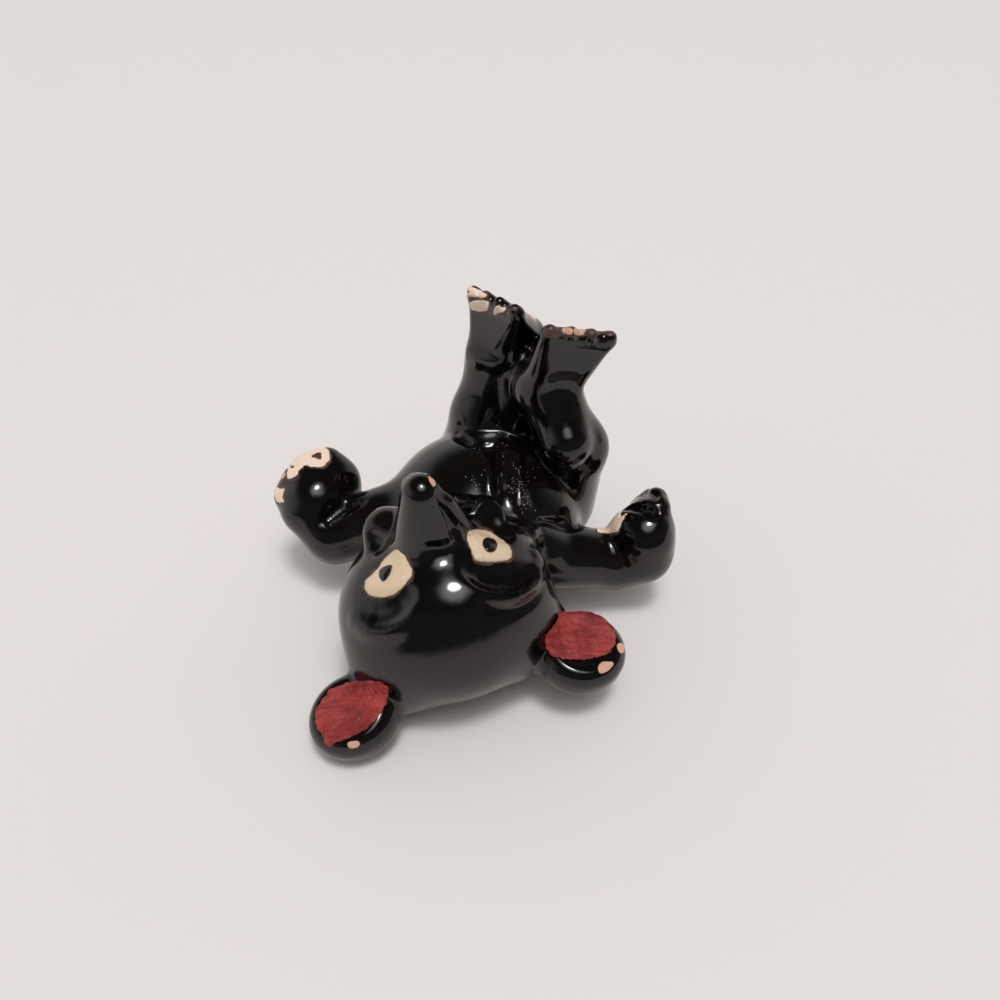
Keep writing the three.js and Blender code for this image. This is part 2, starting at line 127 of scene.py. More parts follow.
def taper(start, startRadius, end, endRadius):
    along = end - start
    reach = along @ along
    drop = startRadius - endRadius
    wide = max(reach - drop * drop, 1e-6)

    def field(p):
        q = p - start
        y = q @ along
        z = y - reach
        side = ((q * reach - y[:, None] * along) ** 2).sum(1)
        yy = y * y * reach
        zz = z * z * reach
        k = math.copysign(1, drop) * drop * drop * side
        middle = (np.sqrt(side * wide / reach) + y * drop) / reach - startRadius
        atEnd = np.sqrt(side + zz) / reach - endRadius
        atStart = np.sqrt(side + yy) / reach - startRadius
        out = np.where(np.sign(y) * wide * yy < k, atStart, middle)
        return np.where(np.sign(z) * wide * zz > k, atEnd, out)

    return field


def wedge(apex, apexRadius, first, last, rimRadius):
    # a flat fan of clay from a round apex out to a straight rim
    along = (first + last) / 2 - apex
    half = (last - first) / 2

    def field(p):
        q = p - apex
        v = np.zeros(len(p))
        for _ in range(3):
            u = np.clip((q - v[:, None] * half) @ along / (along @ along), 0, 1)
            v = np.clip((q - u[:, None] * along) @ half / (half @ half), -u, u)
        off = q - u[:, None] * along - v[:, None] * half
        return np.linalg.norm(off, axis=1) - apexRadius - u * (rimRadius - apexRadius)

    return field


def smoothMin(a, b, k):
    h = np.maximum(k - np.abs(a - b), 0) / k
    return np.minimum(a, b) - h**3 * k / 6


def union(forms, softness):
    def field(p):
        d = forms[0](p)
        for form in forms[1:]:
            d = smoothMin(d, form(p), softness)
        return d

    return field


# Torso
torsoSizes = {
    "belly": (22.4, 21.0, 19.4),
    "rump": (18.0, 16.0, 14.4),
    "rumpOffset": 14.8,
    "rumpAzimuth": 62.0,
    "ground": 1.2,  # depth that the underside was ground flat
    "tail": (3.4, 2.7, 3.0),  # radius at the root and the tip, and length
    "tailSeat": (90, -12),
    "tailLift": 10,
    "waist": 9.0,  # how softly belly and rump run together
    "tailBlend": 2.0,
}
bellyCentre = vec(0, 0, torsoSizes["belly"][2] - torsoSizes["ground"])
rumpCentre = aim(torsoSizes["rumpAzimuth"], 0) * torsoSizes["rumpOffset"]
rumpCentre[2] = torsoSizes["rump"][2] - torsoSizes["ground"]
rumpTurn = turnAbout("z", torsoSizes["rumpAzimuth"] - 90)


def seat(centre, halves, turn, azimuth, elevation, sink):
    out = aim(azimuth, elevation) * np.array(halves)
    out = out * (1 - sink / np.linalg.norm(out))
    return centre + turn @ out


def onBelly(azimuth, elevation, sink):
    return seat(bellyCentre, torsoSizes["belly"], np.eye(3), azimuth, elevation, sink)


def onRump(azimuth, elevation, sink):
    return seat(rumpCentre, torsoSizes["rump"], rumpTurn, azimuth, elevation, sink)


def torsoForm():
    root, tip, length = torsoSizes["tail"]
    tailRoot = onRump(*torsoSizes["tailSeat"], root)
    tailEnd = onward(tailRoot, torsoSizes["rumpAzimuth"], torsoSizes["tailLift"], length)
    tail = taper(tailRoot, root, tailEnd, tip)
    masses = [ball(bellyCentre, torsoSizes["belly"]), ball(rumpCentre, torsoSizes["rump"], rumpTurn)]
    return union([union(masses, torsoSizes["waist"]), tail], torsoSizes["tailBlend"])


# Head, in its own frame: +X the bear's right, +Y out of the face, +Z to the crown
headSizes = {
    "skull": (22.0, 18.0, 20.0),
    "skullRise": 1.2,
    "temple": 9.4,
    "templePlace": (12.6, -6.0, 8.6),
    "faceSink": 6.0,  # how deep the muzzle and the jaw start under the face
    "muzzle": (8.6, 3.6, 17.6, 4.0, 1.8),  # radius at the root and the tip, length, drop and dip
    "jaw": (6.4, 3.4, 9.6, 9.8, 2.8),
    "leftCheek": (-7.6, -12.0, 5.2, -0.6),  # x, z, radius, and how far its middle stands out
    "rightCheek": (11.4, -9.6, 4.6, -0.8),
    "height": 20.0,
    "neckSink": 10.7,
    "azimuth": 257.0,
    "turn": (15.3, -7.2, 15.5),  # degrees about x, y and z
    "templeBlend": 7.5,
    "muzzleBlend": 3.6,
    "cheekBlend": 3.2,
}
headPlace = onBelly(headSizes["azimuth"], 0, 0)
headPlace = headPlace + aim(headSizes["azimuth"], 0) * (headSizes["skull"][2] - headSizes["neckSink"])
headPlace[2] = headSizes["height"]
headTurn = turnAbout("z", headSizes["turn"][2]) @ turnAbout("y", headSizes["turn"][1])
headTurn = headTurn @ turnAbout("x", headSizes["turn"][0]) @ turnAbout("x", 90)


def faceDepth(x, z):
    w, d, h = headSizes["skull"]
    rest = 1 - (x / w) ** 2 - ((z - headSizes["skullRise"]) / h) ** 2
    return d * math.sqrt(max(rest, 0.04))


def inHead(form):
    def field(p):
        return form((p - headPlace) @ headTurn)

    return field


def skullForm():
    skull = ball(vec(0, 0, headSizes["skullRise"]), headSizes["skull"])
    x, y, z = headSizes["templePlace"]
    temples = [ball(vec(side * x, y, z), headSizes["temple"]) for side in (-1, 1)]
    return union([skull, *temples], headSizes["templeBlend"])


def snout(name):
    root, tip, length, drop, dip = headSizes[name]
    start = vec(0, headSizes["skull"][1] - headSizes["faceSink"], -drop)
    return taper(start, root, start + vec(0, length, -dip), tip)


def faceForm():
    cheeks = []
    for cheek in ("leftCheek", "rightCheek"):
        x, z, radius, proud = headSizes[cheek]
        cheeks.append(ball(vec(x, faceDepth(x, z) + proud, z), radius))
    head = union([skullForm(), snout("muzzle")], headSizes["muzzleBlend"])
    return inHead(union([head, snout("jaw"), *cheeks], headSizes["cheekBlend"]))


# Ears
earSizes = {
    "halves": (9.2, 8.4),
    "thickness": 9.4,
    "edge": 4.2,
    "dish": 1.3,
    "rim": 1.6,
    "place": (23.2, -6.2, 17.2),
    "flare": 12.0,
    "leftRise": -1.0,  # the left ear sits a little lower
    "dishEdge": 1.0,
}


def earForm(side):
    wide, tall = earSizes["halves"]
    x, y, z = earSizes["place"]
    centre = vec(side * x, y, z + (0 if side > 0 else earSizes["leftRise"]))
    turn = turnAbout("z", -side * earSizes["flare"])
    half = earSizes["thickness"] / 2
    edge = earSizes["edge"]

    def field(p):
        q = (p - centre) @ turn
        out = np.sqrt(q[:, 0] ** 2 + (q[:, 2] * wide / tall) ** 2)
        dx = out - (wide - edge)
        dy = np.abs(q[:, 1]) - (half - edge)
        outside = np.sqrt(np.maximum(dx, 0) ** 2 + np.maximum(dy, 0) ** 2)
        body = outside + np.minimum(np.maximum(dx, dy), 0) - edge
        share = np.minimum(out / (wide - earSizes["rim"]), 1)
        dish = half - earSizes["dish"] * (1 - share**2) - q[:, 1]
        return -smoothMin(-body, dish, earSizes["dishEdge"])

    return inHead(field)


# Arms
armSizes = {
    "shoulder": 8.0,
    "elbow": 7.0,
    "wrist": 6.3,
    "paw": (9.6, 8.6, 7.6),
    "finger": 2.7,
    "fingerPitch": 4.2,
    "fingerReach": (0.6, 0.8),  # how far the middle ones stand out, and how the outer ones fall back
    "palm": 5.4,
    "curl": (3.7, 2.7),
    "curlPitch": 3.0,
    "curlStart": 1.6,
    "curlLean": (1.2, 0.4),
    "curlReach": (5.8, 1.3, 1.4),  # longest finger, fall to the others, and which one is longest
    "limbBlend": 3.0,
    "fingerBlend": 4.5,
    "curlBlend": 2.4,
}
armBones = {  # azimuth and elevation, with the depth of a seat or the length of a bone
    "leftSeat": (188.7, 16, 7.6),
    "leftUpper": (183, -17, 21),
    "leftFore": (158, 37, 8),
    "leftPaw": (62, 18, 5.1),
    "leftFingers": (151, 40),
    "leftKnuckles": (35, 27),
    "rightSeat": (-49, -2.4, 4),
    "rightUpper": (10, -14, 19),
    "rightFore": (0, 18, 6.4),
    "rightPalm": (117, 80, 5.8),
    "rightFingers": (15, 73),
    "rightKnuckles": (95, 4),
}
leftShoulder = onBelly(*armBones["leftSeat"])
leftElbow = onward(leftShoulder, *armBones["leftUpper"])
leftWrist = onward(leftElbow, *armBones["leftFore"])
leftPaw = onward(leftWrist, *armBones["leftPaw"])
leftFingers = aim(*armBones["leftFingers"])
leftKnuckles = aim(*armBones["leftKnuckles"])
rightShoulder = onBelly(*armBones["rightSeat"])
rightWrist = onward(rightShoulder, *armBones["rightUpper"])
rightHand = onward(rightWrist, *armBones["rightFore"])
rightPalm = onward(rightHand, *armBones["rightPalm"])
rightFingers = aim(*armBones["rightFingers"])
rightKnuckles = aim(*armBones["rightKnuckles"])
rowOfFour = (-1.5, -0.5, 0.5, 1.5)


def leftArmForm():
    out = unit(np.cross(leftKnuckles, leftFingers))
    side = unit(np.cross(leftFingers, out))
    pawTurn = np.stack([side, leftFingers, out], 1)
    limb = union([
        taper(leftShoulder, armSizes["shoulder"], leftElbow, armSizes["elbow"]),
        taper(leftElbow, armSizes["elbow"], leftWrist, armSizes["wrist"]),
    ], armSizes["limbBlend"])
    finger = armSizes["finger"]
    proud, fall = armSizes["fingerReach"]
    fingers = []
    for step in rowOfFour:
        root = leftPaw + leftKnuckles * step * armSizes["fingerPitch"]
        reach = armSizes["paw"][1] - finger + proud - fall * step * step
        fingers.append(taper(root, finger, root + leftFingers * reach, finger))
    paw = union([ball(leftPaw, armSizes["paw"], pawTurn), *fingers], armSizes["fingerBlend"])
    return union([limb, paw], armSizes["limbBlend"])


def rightArmForm():
    limb = union([
        taper(rightShoulder, armSizes["shoulder"], rightWrist, armSizes["wrist"]),
        taper(rightWrist, armSizes["wrist"], rightHand, armSizes["wrist"]),
        taper(rightHand, armSizes["wrist"], rightPalm, armSizes["palm"]),
    ], armSizes["limbBlend"])
    lean, leanStep = armSizes["curlLean"]
    longest, fall, middle = armSizes["curlReach"]
    fingers = []
    for step in range(4):
        root = rightPalm + rightKnuckles * (step * armSizes["curlPitch"] - armSizes["curlStart"])
        root = root + vec(lean + leanStep * step, 0, 0)
        tip = root + rightFingers * (longest - fall * (step - middle) ** 2)
        fingers.append(taper(root, armSizes["curl"][0], tip, armSizes["curl"][1]))
    return union([limb, union(fingers, armSizes["curlBlend"])], armSizes["limbBlend"])


# Legs
legSizes = {
    "thigh": 12.2,
    "knee": 7.3,
    "ankle": 6.2,
    "thighLength": 19.5,
    "shinLength": 15.4,
    "hipSink": 7.6,
    "heel": 3.8,
    "heelReach": 8.2,
    "sole": 1.4,
    "footLength": 13.0,
    "toe": 1.3,
    "toeLift": 0.7,
    "toeReach": 0.4,
    "toeLength": 0.5,
    "toePitch": 4.3,
    "toeSetBack": 0.4,
    "web": (6.0, 4.4),
    "webLean": 0.56,
    "limbBlend": 4.0,
    "fanBlend": 2.2,
    "toeBlend": 1.2,
    "footBlend": 5.0,
    "webBlend": 6.0,
}
legAims = {  # azimuth and elevation of each bone, and how far the toes stand higher
    "right": {
        "seat": (3, 29),
        "thigh": (-45, 66),
        "shin": (161, 69),
        "heel": (84, 66),
        "foot": (-68, 31),
        "toes": (-9, 2),
        "ankleShift": (-1.3, -0.4, 0),
        "rise": 1.2,
    },
    "left": {
        "seat": (177, 29),
        "thigh": (-73, 82),
        "shin": (17, 77),
        "heel": (-4, 40),
        "foot": (-140, 46),
        "toes": (-33, -14),
        "ankleShift": (0, 0, 0),
        "rise": 0.4,
    },
}


def legBones(side):
    aims = legAims[side]
    hip = onRump(*aims["seat"], legSizes["hipSink"])
    knee = onward(hip, *aims["thigh"], legSizes["thighLength"])
    ankle = onward(knee, *aims["shin"], legSizes["shinLength"])
    heel = onward(ankle, *aims["heel"], legSizes["heelReach"])
    along, toes = aim(*aims["foot"]), aim(*aims["toes"])
    return {
        "hip": hip,
        "knee": knee,
        "ankle": ankle + vec(*aims["ankleShift"]),
        "heel": heel,
        "along": along,
        "across": unit(toes - along * (toes @ along)),
        "rise": aims["rise"],
    }


rightLeg = legBones("right")
leftLeg = legBones("left")


def toePoints(leg):
    base = leg["heel"] + vec(0, 0, leg["rise"])
    points = []
    for step in rowOfFour:
        reach = legSizes["footLength"] - legSizes["toeSetBack"] * abs(step)
        points.append(base + leg["along"] * reach + leg["across"] * step * legSizes["toePitch"])
    return points


def toeForm(leg, tip):
    start = tip + leg["along"] * legSizes["toeReach"] + vec(0, 0, legSizes["toeLift"])
    end = start + leg["along"] * legSizes["toeLength"]
    return taper(start, legSizes["toe"], end, legSizes["toe"])


def legForm(leg):
    hip, knee, ankle, heel = (leg[joint] for joint in ("hip", "knee", "ankle", "heel"))
    limb = union([
        taper(hip, legSizes["thigh"], knee, legSizes["knee"]),
        taper(knee, legSizes["knee"], ankle, legSizes["ankle"]),
    ], legSizes["limbBlend"])
    tips = toePoints(leg)
    fan = union([
        wedge(ankle, legSizes["ankle"], tips[0], tips[-1], legSizes["sole"]),
        wedge(heel, legSizes["heel"], tips[0], tips[-1], legSizes["sole"]),
        taper(ankle, legSizes["ankle"], heel, legSizes["heel"]),
    ], legSizes["fanBlend"])
    foot = union([fan, *[toeForm(leg, tip) for tip in tips]], legSizes["toeBlend"])
    return union([limb, foot], legSizes["footBlend"])


def webForm():
    between = [
        leftLeg[joint] + (rightLeg[joint] - leftLeg[joint]) * legSizes["webLean"]
        for joint in ("hip", "ankle")
    ]
    return taper(between[0], legSizes["web"][0], between[1], legSizes["web"][1])


# The whole figure as one skin, and the castings that it is split into
castings = {
    "torso": torsoForm(),
    "head": faceForm(),
    "left_ear": earForm(-1),
    "right_ear": earForm(1),
    "left_arm": leftArmForm(),
    "right_arm": rightArmForm(),
    "left_leg": union([legForm(leftLeg), webForm()], legSizes["webBlend"]),
    "right_leg": legForm(rightLeg),
}
seams = {  # how softly each casting runs into the ones before it
    "torso": 1.0,
    "head": 2.5,
    "left_ear": 2.2,
    "right_ear": 2.4,
    "left_arm": 4.0,
    "right_arm": 3.0,
    "left_leg": 4.0,
    "right_leg": 2.5,
}
groundBlend = 1.2  # how softly the skin meets the flat on which it rests
far = 30.0  # what a form's field reads where it can't touch the skin
netSizes = {
    "step": 0.45,
    "paintStep": 0.25,
    "pupilStep": 0.2,
    "margin": 1.5,  # of the net around the figure
    "boxStep": 3.0,
    "boxMargin": 6,
    "boxReach": 5.0,
    "boxSpare": 1.0,
    "corners": [(i, j, k) for i in (0, 1) for j in (0, 1) for k in (0, 1)],
    "coarse": 5,  # cells on a side of the blocks that are looked at first
    "batch": 400000,  # points that are measured at a time
    "pulls": 3,
    "speck": 60,  # fewer faces than this are no paint
}


def boxOf(form, reach):
    step = netSizes["boxStep"]
    low = np.array(cadBox[0]) / mm - netSizes["boxMargin"]
    high = np.array(cadBox[1]) / mm + netSizes["boxMargin"]
    shape = np.ceil((high - low) / step).astype(int) + 1
    points = gridPoints(low, shape, step)
    near = points[form(points) < reach + step]
    return near.min(0) - netSizes["boxSpare"], near.max(0) + netSizes["boxSpare"]


def gridPoints(low, shape, step):
    axes = [low[i] + step * np.arange(shape[i]) for i in range(3)]
    return np.stack(np.meshgrid(*axes, indexing="ij"), -1).reshape(-1, 3)


def inBox(p, box):
    return ((p > box[0]) & (p < box[1])).all(1)


castingBoxes = {name: boxOf(form, netSizes["boxReach"]) for name, form in castings.items()}


def castingFields(p):
    fields = {}
    for name, form in castings.items():
        near = inBox(p, castingBoxes[name])
        value = np.full(len(p), far)
        if near.any():
            value[near] = form(p[near])
        fields[name] = value
    return fields


def joined(p):
    d = None
    for name, value in castingFields(p).items():
        d = value if d is None else smoothMin(d, value, seams[name])
    return d


def slopeOf(form, p, step=0.04):
    out = np.zeros_like(p)
    for axis in range(3):
        shift = np.zeros(3)
        shift[axis] = step
        out[:, axis] = (form(p + shift) - form(p - shift)) / (2 * step)
    return out


def unitSlope(form, p, step=0.04):
    slope = slopeOf(form, p, step)
    return slope / np.maximum(np.linalg.norm(slope, axis=1), tiny)[:, None]


# Places seen in the photograph. A spot is given in an enlarged window of it, by the
# window's left, top and magnification.
windows = {
    "face": (335, 455, 9),
    "legs": (430, 270, 7),
    "arm": (500, 470, 9),
    "belly": (330, 420, 9),
    "paw": (262, 440, 9),
    "ears": (230, 530, 3.8),
}
eye = np.array(photo["place"])
ahead = vec(0, math.cos(math.radians(photo["tilt"])), -math.sin(math.radians(photo["tilt"])))
upward = vec(0, math.sin(math.radians(photo["tilt"])), math.cos(math.radians(photo["tilt"])))
focal = photo["lens"] / photo["sensor"] * photo["size"]


def toPhoto(window, spots):
    left, top, zoom = windows[window]
    return np.array(spots, float) / zoom + (left, top)


def toPixels(p):
    q = p - eye
    depth = q @ ahead
    return np.stack([focal * q[:, 0] / depth, -focal * (q @ upward) / depth], 1) + photo["size"] / 2, depth


sightSizes = {
    "start": 90.0,  # from the camera to where the search starts
    "steps": 160,
    "share": 0.7,  # how much of what the form reads is one step
    "least": 0.01,
    "near": 0.003,
    "pulls": 4,
    "pullStep": 0.1,
    "outStep": 0.5,  # over which the way out is measured
}


def seenOn(form, window, spots):
    # where the lines of sight through some spots meet a form, or pass closest to it
    off = (toPhoto(window, spots) - photo["size"] / 2) / focal
    sight = ahead + off[:, :1] * vec(1, 0, 0) - off[:, 1:] * upward
    sight = sight / np.linalg.norm(sight, axis=1)[:, None]
    reach = np.full(len(sight), sightSizes["start"])
    best = np.full(len(sight), huge)
    place = eye + sight * reach[:, None]
    for _ in range(sightSizes["steps"]):
        p = eye + sight * reach[:, None]
        d = form(p)
        better = np.abs(d) < best
        best[better] = np.abs(d)[better]
        place[better] = p[better]
        stride = np.maximum(d * sightSizes["share"], sightSizes["least"])
        reach += np.where(d > sightSizes["near"], stride, 0)
    for _ in range(sightSizes["pulls"]):
        place = place - form(place)[:, None] * unitSlope(form, place, sightSizes["pullStep"])
    return place, unitSlope(form, place, sightSizes["outStep"])


# Strokes of the modelling tool: ridges of added clay and pressed grooves that follow the skin
def smoothPath(points, count):
    points = np.asarray(points, float)
    padded = np.vstack([2 * points[0] - points[1], points, 2 * points[-1] - points[-2]])
    out = []
    for s in np.linspace(0, len(points) - 1, count):
        i = min(int(s), len(points) - 2)
        t = s - i
        a, b, c, d = padded[i : i + 4]
        square = (2 * a - 5 * b + 4 * c - d) * t * t
        out.append(0.5 * (2 * b + (c - a) * t + square + (3 * b - a - 3 * c + d) * t**3))
    return np.array(out)


def tube(points, radii):
    def field(p):
        d = np.full(len(p), huge)
        for a, b, ra, rb in zip(points, points[1:], radii, radii[1:]):
            along = b - a
            t = np.clip((p - a) @ along / max(along @ along, tiny), 0, 1)
            d = np.minimum(d, np.linalg.norm(p - a - t[:, None] * along, axis=1) - ra - t * (rb - ra))
        return d

    return field


def evened(points):
    out = points.copy()
    out[1:-1] = (points[:-2] + 2 * points[1:-1] + points[2:]) / 4
    return out


def alongPath(values, share):
    # one value, or several that are spread evenly over a path
    if np.ndim(values) == 0:
        return np.full(len(share), float(values))
    return np.interp(share, np.linspace(0, 1, len(values)), values)


strokeSizes = {"spots": 3, "rounds": 3, "spare": 0.5}


class Stroke:
    # kind is ridge or groove; radius of the tool, height or depth, and softness in mm
    def __init__(self, on, kind, radius, depth, soft, window, spots, fade=0.25):
        form = joined if on == "all" else castings[on]
        spots = smoothPath(spots, strokeSizes["spots"] * (len(spots) - 1) + 1)
        place, out = seenOn(form, window, spots)
        for _ in range(strokeSizes["rounds"]):
            place, out = evened(place), evened(out)
        out = out / np.linalg.norm(out, axis=1)[:, None]
        share = np.linspace(0, 1, len(spots))
        depth = alongPath(depth, share)
        radius = alongPath(radius, share)
        swell = np.clip(np.minimum(share, 1 - share) / fade, 0, 1) if fade else np.ones(len(spots))
        swell = swell * swell * (3 - 2 * swell)
        self.kind = kind
        self.soft = soft
        raised = depth * swell - radius if kind == "ridge" else radius - depth * swell
        points = place + out * raised[:, None]
        self.field = tube(points, radius)
        reach = radius.max() + soft + strokeSizes["spare"]
        self.box = points.min(0) - reach, points.max(0) + reach

    def apply(self, d, p):
        near = inBox(p, self.box)
        if near.any():
            tool = self.field(p[near])
            if self.kind == "ridge":
                d[near] = smoothMin(d[near], tool, self.soft)
            else:
                d[near] = -smoothMin(-d[near], tool, self.soft)


faceStrokes = {
    "muzzle right": ("groove", 1.3, 1.4, 0.9, "face", ((925, 330), (985, 430), (1040, 560), (1085, 690),
        (1120, 800))),
    "lip": ("ridge", 1.4, 1.2, 0.8, "face", ((945, 292), (1057, 472), (1147, 607), (1215, 697))),
    "chin": ("ridge", 2.0, 1.1, 1.0, "belly", ((1060, 620), (1160, 640), (1250, 690))),
    "chin fold": ("ridge", 1.2, 0.8, 0.8, "belly", ((1200, 738), (1280, 740))),
    "left pocket": ("groove", 2.6, 1.0, 1.8, "face", ((340, 750), (400, 800))),
    "right pocket": ("groove", 6.0, 1.4, 1.5, "face", ((1390, 540), (1425, 610))),
    "bridge": ("groove", 2.0, 0.35, 1.8, "face", ((820, 845), (900, 858), (980, 853), (1050, 830))),
    "forehead": ("ridge", 9.0, 0.9, 6.0, "face", ((960, 1240), (1080, 1255), (1190, 1245))),
    "under right brow": ("groove", 3.0, 0.4, 2.0, "face", ((1400, 1335), (1570, 1330), (1730, 1270),
        (1850, 1150))),
    "right brow": ("ridge", (1.6, 2.2, 2.2, 2.2, 2.0, 1.6), (0.0, 0.3, 1.3, 1.8, 1.6, 0.6),
        2.2, "face", ((1090, 985), (1150, 1045), (1215, 1120), (1300, 1200), (1420, 1255), (1560, 1260),
        (1700, 1200), (1790, 1110), (1840, 990), (1800, 890)), 0),
    "right bowl": ("groove", 3.0, 0.9, 2.0, "face", ((1240, 1040), (1380, 1110), (1550, 1115),
        (1690, 1050))),
    "left brow": ("ridge", 2.2, 0.8, 2.5, "face", ((800, 1240), (745, 1360), (680, 1450), (580, 1540),
        (420, 1590), (260, 1570), (180, 1500))),
    "left bowl": ("groove", 2.6, 0.5, 2.0, "face", ((300, 1410), (420, 1430), (540, 1390),
        (640, 1290))),
}
legStrokes = {
    "knee hollow": ("groove", 4.5, 1.0, 3.0, "legs", ((860, 850), (930, 840), (1010, 850))),
    "kneecap": ("ridge", 5.6, (-2.0, 1.4, 4.4), 3.5, "legs", ((845, 960), (895, 1080), (945, 1215)), 0),
}
leftLegStrokes = {
    "ankle fold": ("ridge", 1.8, 0.5, 2.5, "legs", ((270, 590), (330, 610), (420, 650), (500, 655),
        (570, 610), (630, 540))),
}
torsoStrokes = {
    "pooled crease": ("groove", 1.7, 1.1, 1.0, "legs", ((180, 1160), (240, 1190), (330, 1225),
        (420, 1235), (500, 1215))),
    "fold": ("ridge", 2.4, 1.0, 1.5, "legs", ((480, 1140), (540, 1200), (580, 1310), (597, 1450),
        (610, 1560), (650, 1680), (720, 1730))),
    "belly roll": ("ridge", 2.2, 0.6, 2.0, "legs", ((395, 1290), (410, 1350), (430, 1430), (440, 1500),
        (435, 1600))),
    "belly valley": ("groove", 3.0, 0.8, 2.0, "legs", ((505, 1260), (510, 1360), (512, 1480),
        (520, 1600))),
}
leftArmStrokes = {
    "paw back": ("ridge", 6.0, 1.2, 4.0, "paw", ((480, 470), (560, 520))),
    "wrist crease": ("groove", (1.3, 2.0, 1.3), 1.0, 1.8, "paw", ((545, 745), (600, 712), (675, 662),
        (795, 596), (890, 566)), 0.3),
}
rightArmStrokes = {
    "thumb ball": ("ridge", 3.0, 1.1, 2.5, "arm", ((1010, 570), (1060, 520), (1110, 450))),
    "hand ball": ("ridge", 6.5, 1.5, 4.0, "arm", ((1220, 640), (1265, 690))),
    "first finger": ("groove", 1.3, 0.5, 1.3, "arm", ((1165, 365), (1250, 362), (1330, 378),
        (1390, 415))),
    "knuckle": ("ridge", 2.4, 0.5, 1.6, "arm", ((1230, 300), (1280, 298), (1330, 300))),
    "second finger": ("groove", 1.2, 0.7, 1.3, "arm", ((1195, 225), (1290, 200), (1380, 225),
        (1420, 260))),
}
junctionStrokes = {
    "arm top": ("groove", 1.6, 1.2, 1.0, "arm", ((60, 478), (200, 480), (400, 490), (560, 505),
        (700, 522))),
    "arm ridge": ("ridge", 4.5, (0.3, 1.2, 1.8, 0.8), 3.0, "arm", ((60, 560), (200, 590), (350, 630),
        (470, 665)), 0),
}


def makeStrokes():
    tables = (
        ("all", junctionStrokes),
        ("head", faceStrokes),
        ("right_leg", legStrokes),
        ("left_leg", leftLegStrokes),
        ("torso", torsoStrokes),
        ("left_arm", leftArmStrokes),
        ("right_arm", rightArmStrokes),
    )
    print("laying strokes")
    return [Stroke(on, *values) for on, table in tables for values in table.values()]


strokes = makeStrokes()
print(len(strokes), "strokes laid")


def skin(p):
    d = joined(p)
    for stroke in strokes:
        stroke.apply(d, p)
    return -smoothMin(-d, p[:, 2], groundBlend)


# Meshing a field: a net of one vertex in each mixed cell, pulled onto the surface
def sampled(form, low, high, step):
    coarse = netSizes["coarse"]
    low = np.asarray(low, float)
    blocks = np.ceil((np.asarray(high) - low) / (step * coarse)).astype(int) + 1
    rough = form(gridPoints(low, blocks + 1, step * coarse)).reshape(blocks + 1)
    span = step * coarse * 1.8
    i, j, k = blocks
    corners = [rough[a : a + i, b : b + j, c : c + k] for a, b, c in netSizes["corners"]]
    near = np.min(np.abs(corners), 0) < span
    shape = blocks * coarse
    active = near.repeat(coarse, 0).repeat(coarse, 1).repeat(coarse, 2)
    inside = (corners[0] < 0).repeat(coarse, 0).repeat(coarse, 1).repeat(coarse, 2)
    values = np.where(inside, -span, span).astype(float)
    where = np.argwhere(active)
    for part in np.array_split(where, max(1, len(where) // netSizes["batch"])):
        values[tuple(part.T)] = form(low + part * step)
    return values, low, shape


def netMesh(form, low, high, step):
    d, low, shape = sampled(form, low, high, step)
    inside = d < 0
    n = np.array(d.shape) - 1

    def shifted(a, c):
        return a[c[0] : c[0] + n[0], c[1] : c[1] + n[1], c[2] : c[2] + n[2]]

    count = sum(shifted(inside, c).astype(np.int8) for c in netSizes["corners"])
    mixed = (count > 0) & (count < len(netSizes["corners"]))
    cells = np.argwhere(mixed)
    index = np.full(mixed.shape, -1)
    index[mixed] = np.arange(len(cells))
    total = np.zeros((len(cells), 3))
    hits = np.zeros(len(cells))
    for a in netSizes["corners"]:
        for axis in range(3):
            if a[axis]:
                continue
            b = list(a)
            b[axis] = 1
            da = d[tuple((cells + a).T)]
            db = d[tuple((cells + b).T)]
            crossing = (da < 0) != (db < 0)
            share = np.where(crossing, da / np.where(crossing, da - db, 1), 0)
            point = cells + np.array(a, float)
            point[:, axis] += share
            total += point * crossing[:, None]
            hits += crossing
    verts = low + total / hits[:, None] * step
    quads = []
    for axis in range(3):
        u, v = (axis + 1) % 3, (axis + 2) % 3
        a = [slice(0, s) for s in d.shape]
        b = list(a)
        a[axis] = slice(0, d.shape[axis] - 1)
        b[axis] = slice(1, d.shape[axis])
        for flip in (False, True):
            first = inside[tuple(a)]
            second = inside[tuple(b)]
            edge = (first & ~second) if not flip else (~first & second)
            where = np.argwhere(edge)
            where = where[(where[:, u] > 0) & (where[:, v] > 0) & (where[:, u] < n[u]) & (where[:, v] < n[v])]
            around = []
            for du, dv in ((-1, -1), (0, -1), (0, 0), (-1, 0)):
                cell = where.copy()
                cell[:, u] += du
                cell[:, v] += dv
                around.append(index[tuple(cell.T)])
            quad = np.stack(around, 1)
            quads.append(quad[:, ::-1] if flip else quad)
    quads = np.concatenate(quads)
    quads = quads[(quads >= 0).all(1)]
    for _ in range(netSizes["pulls"]):
        slope = slopeOf(form, verts)
        move = form(verts)[:, None] * slope / np.maximum((slope**2).sum(1), 0.05)[:, None]
        size = np.linalg.norm(move, axis=1)[:, None]
        verts = verts - move * np.minimum(1, 0.5 * step / np.maximum(size, tiny))
    return verts, quads


def makeMesh(name, verts, faces, normals=None):
    mesh = bpy.data.meshes.new(name)
    mesh.from_pydata((verts * mm).tolist(), [], faces)
    mesh.validate()
    mesh.polygons.foreach_set("use_smooth", np.ones(len(mesh.polygons), bool))
    if normals is not None:
        mesh.normals_split_custom_set_from_vertices(normals.tolist())
    piece = bpy.data.objects.new(name, mesh)
    bpy.context.scene.collection.objects.link(piece)
    return piece


def addMark(piece, name, values):
    mark = piece.data.attributes.new(name, "FLOAT", "POINT")
    mark.data.foreach_set("value", np.asarray(values, np.float32))


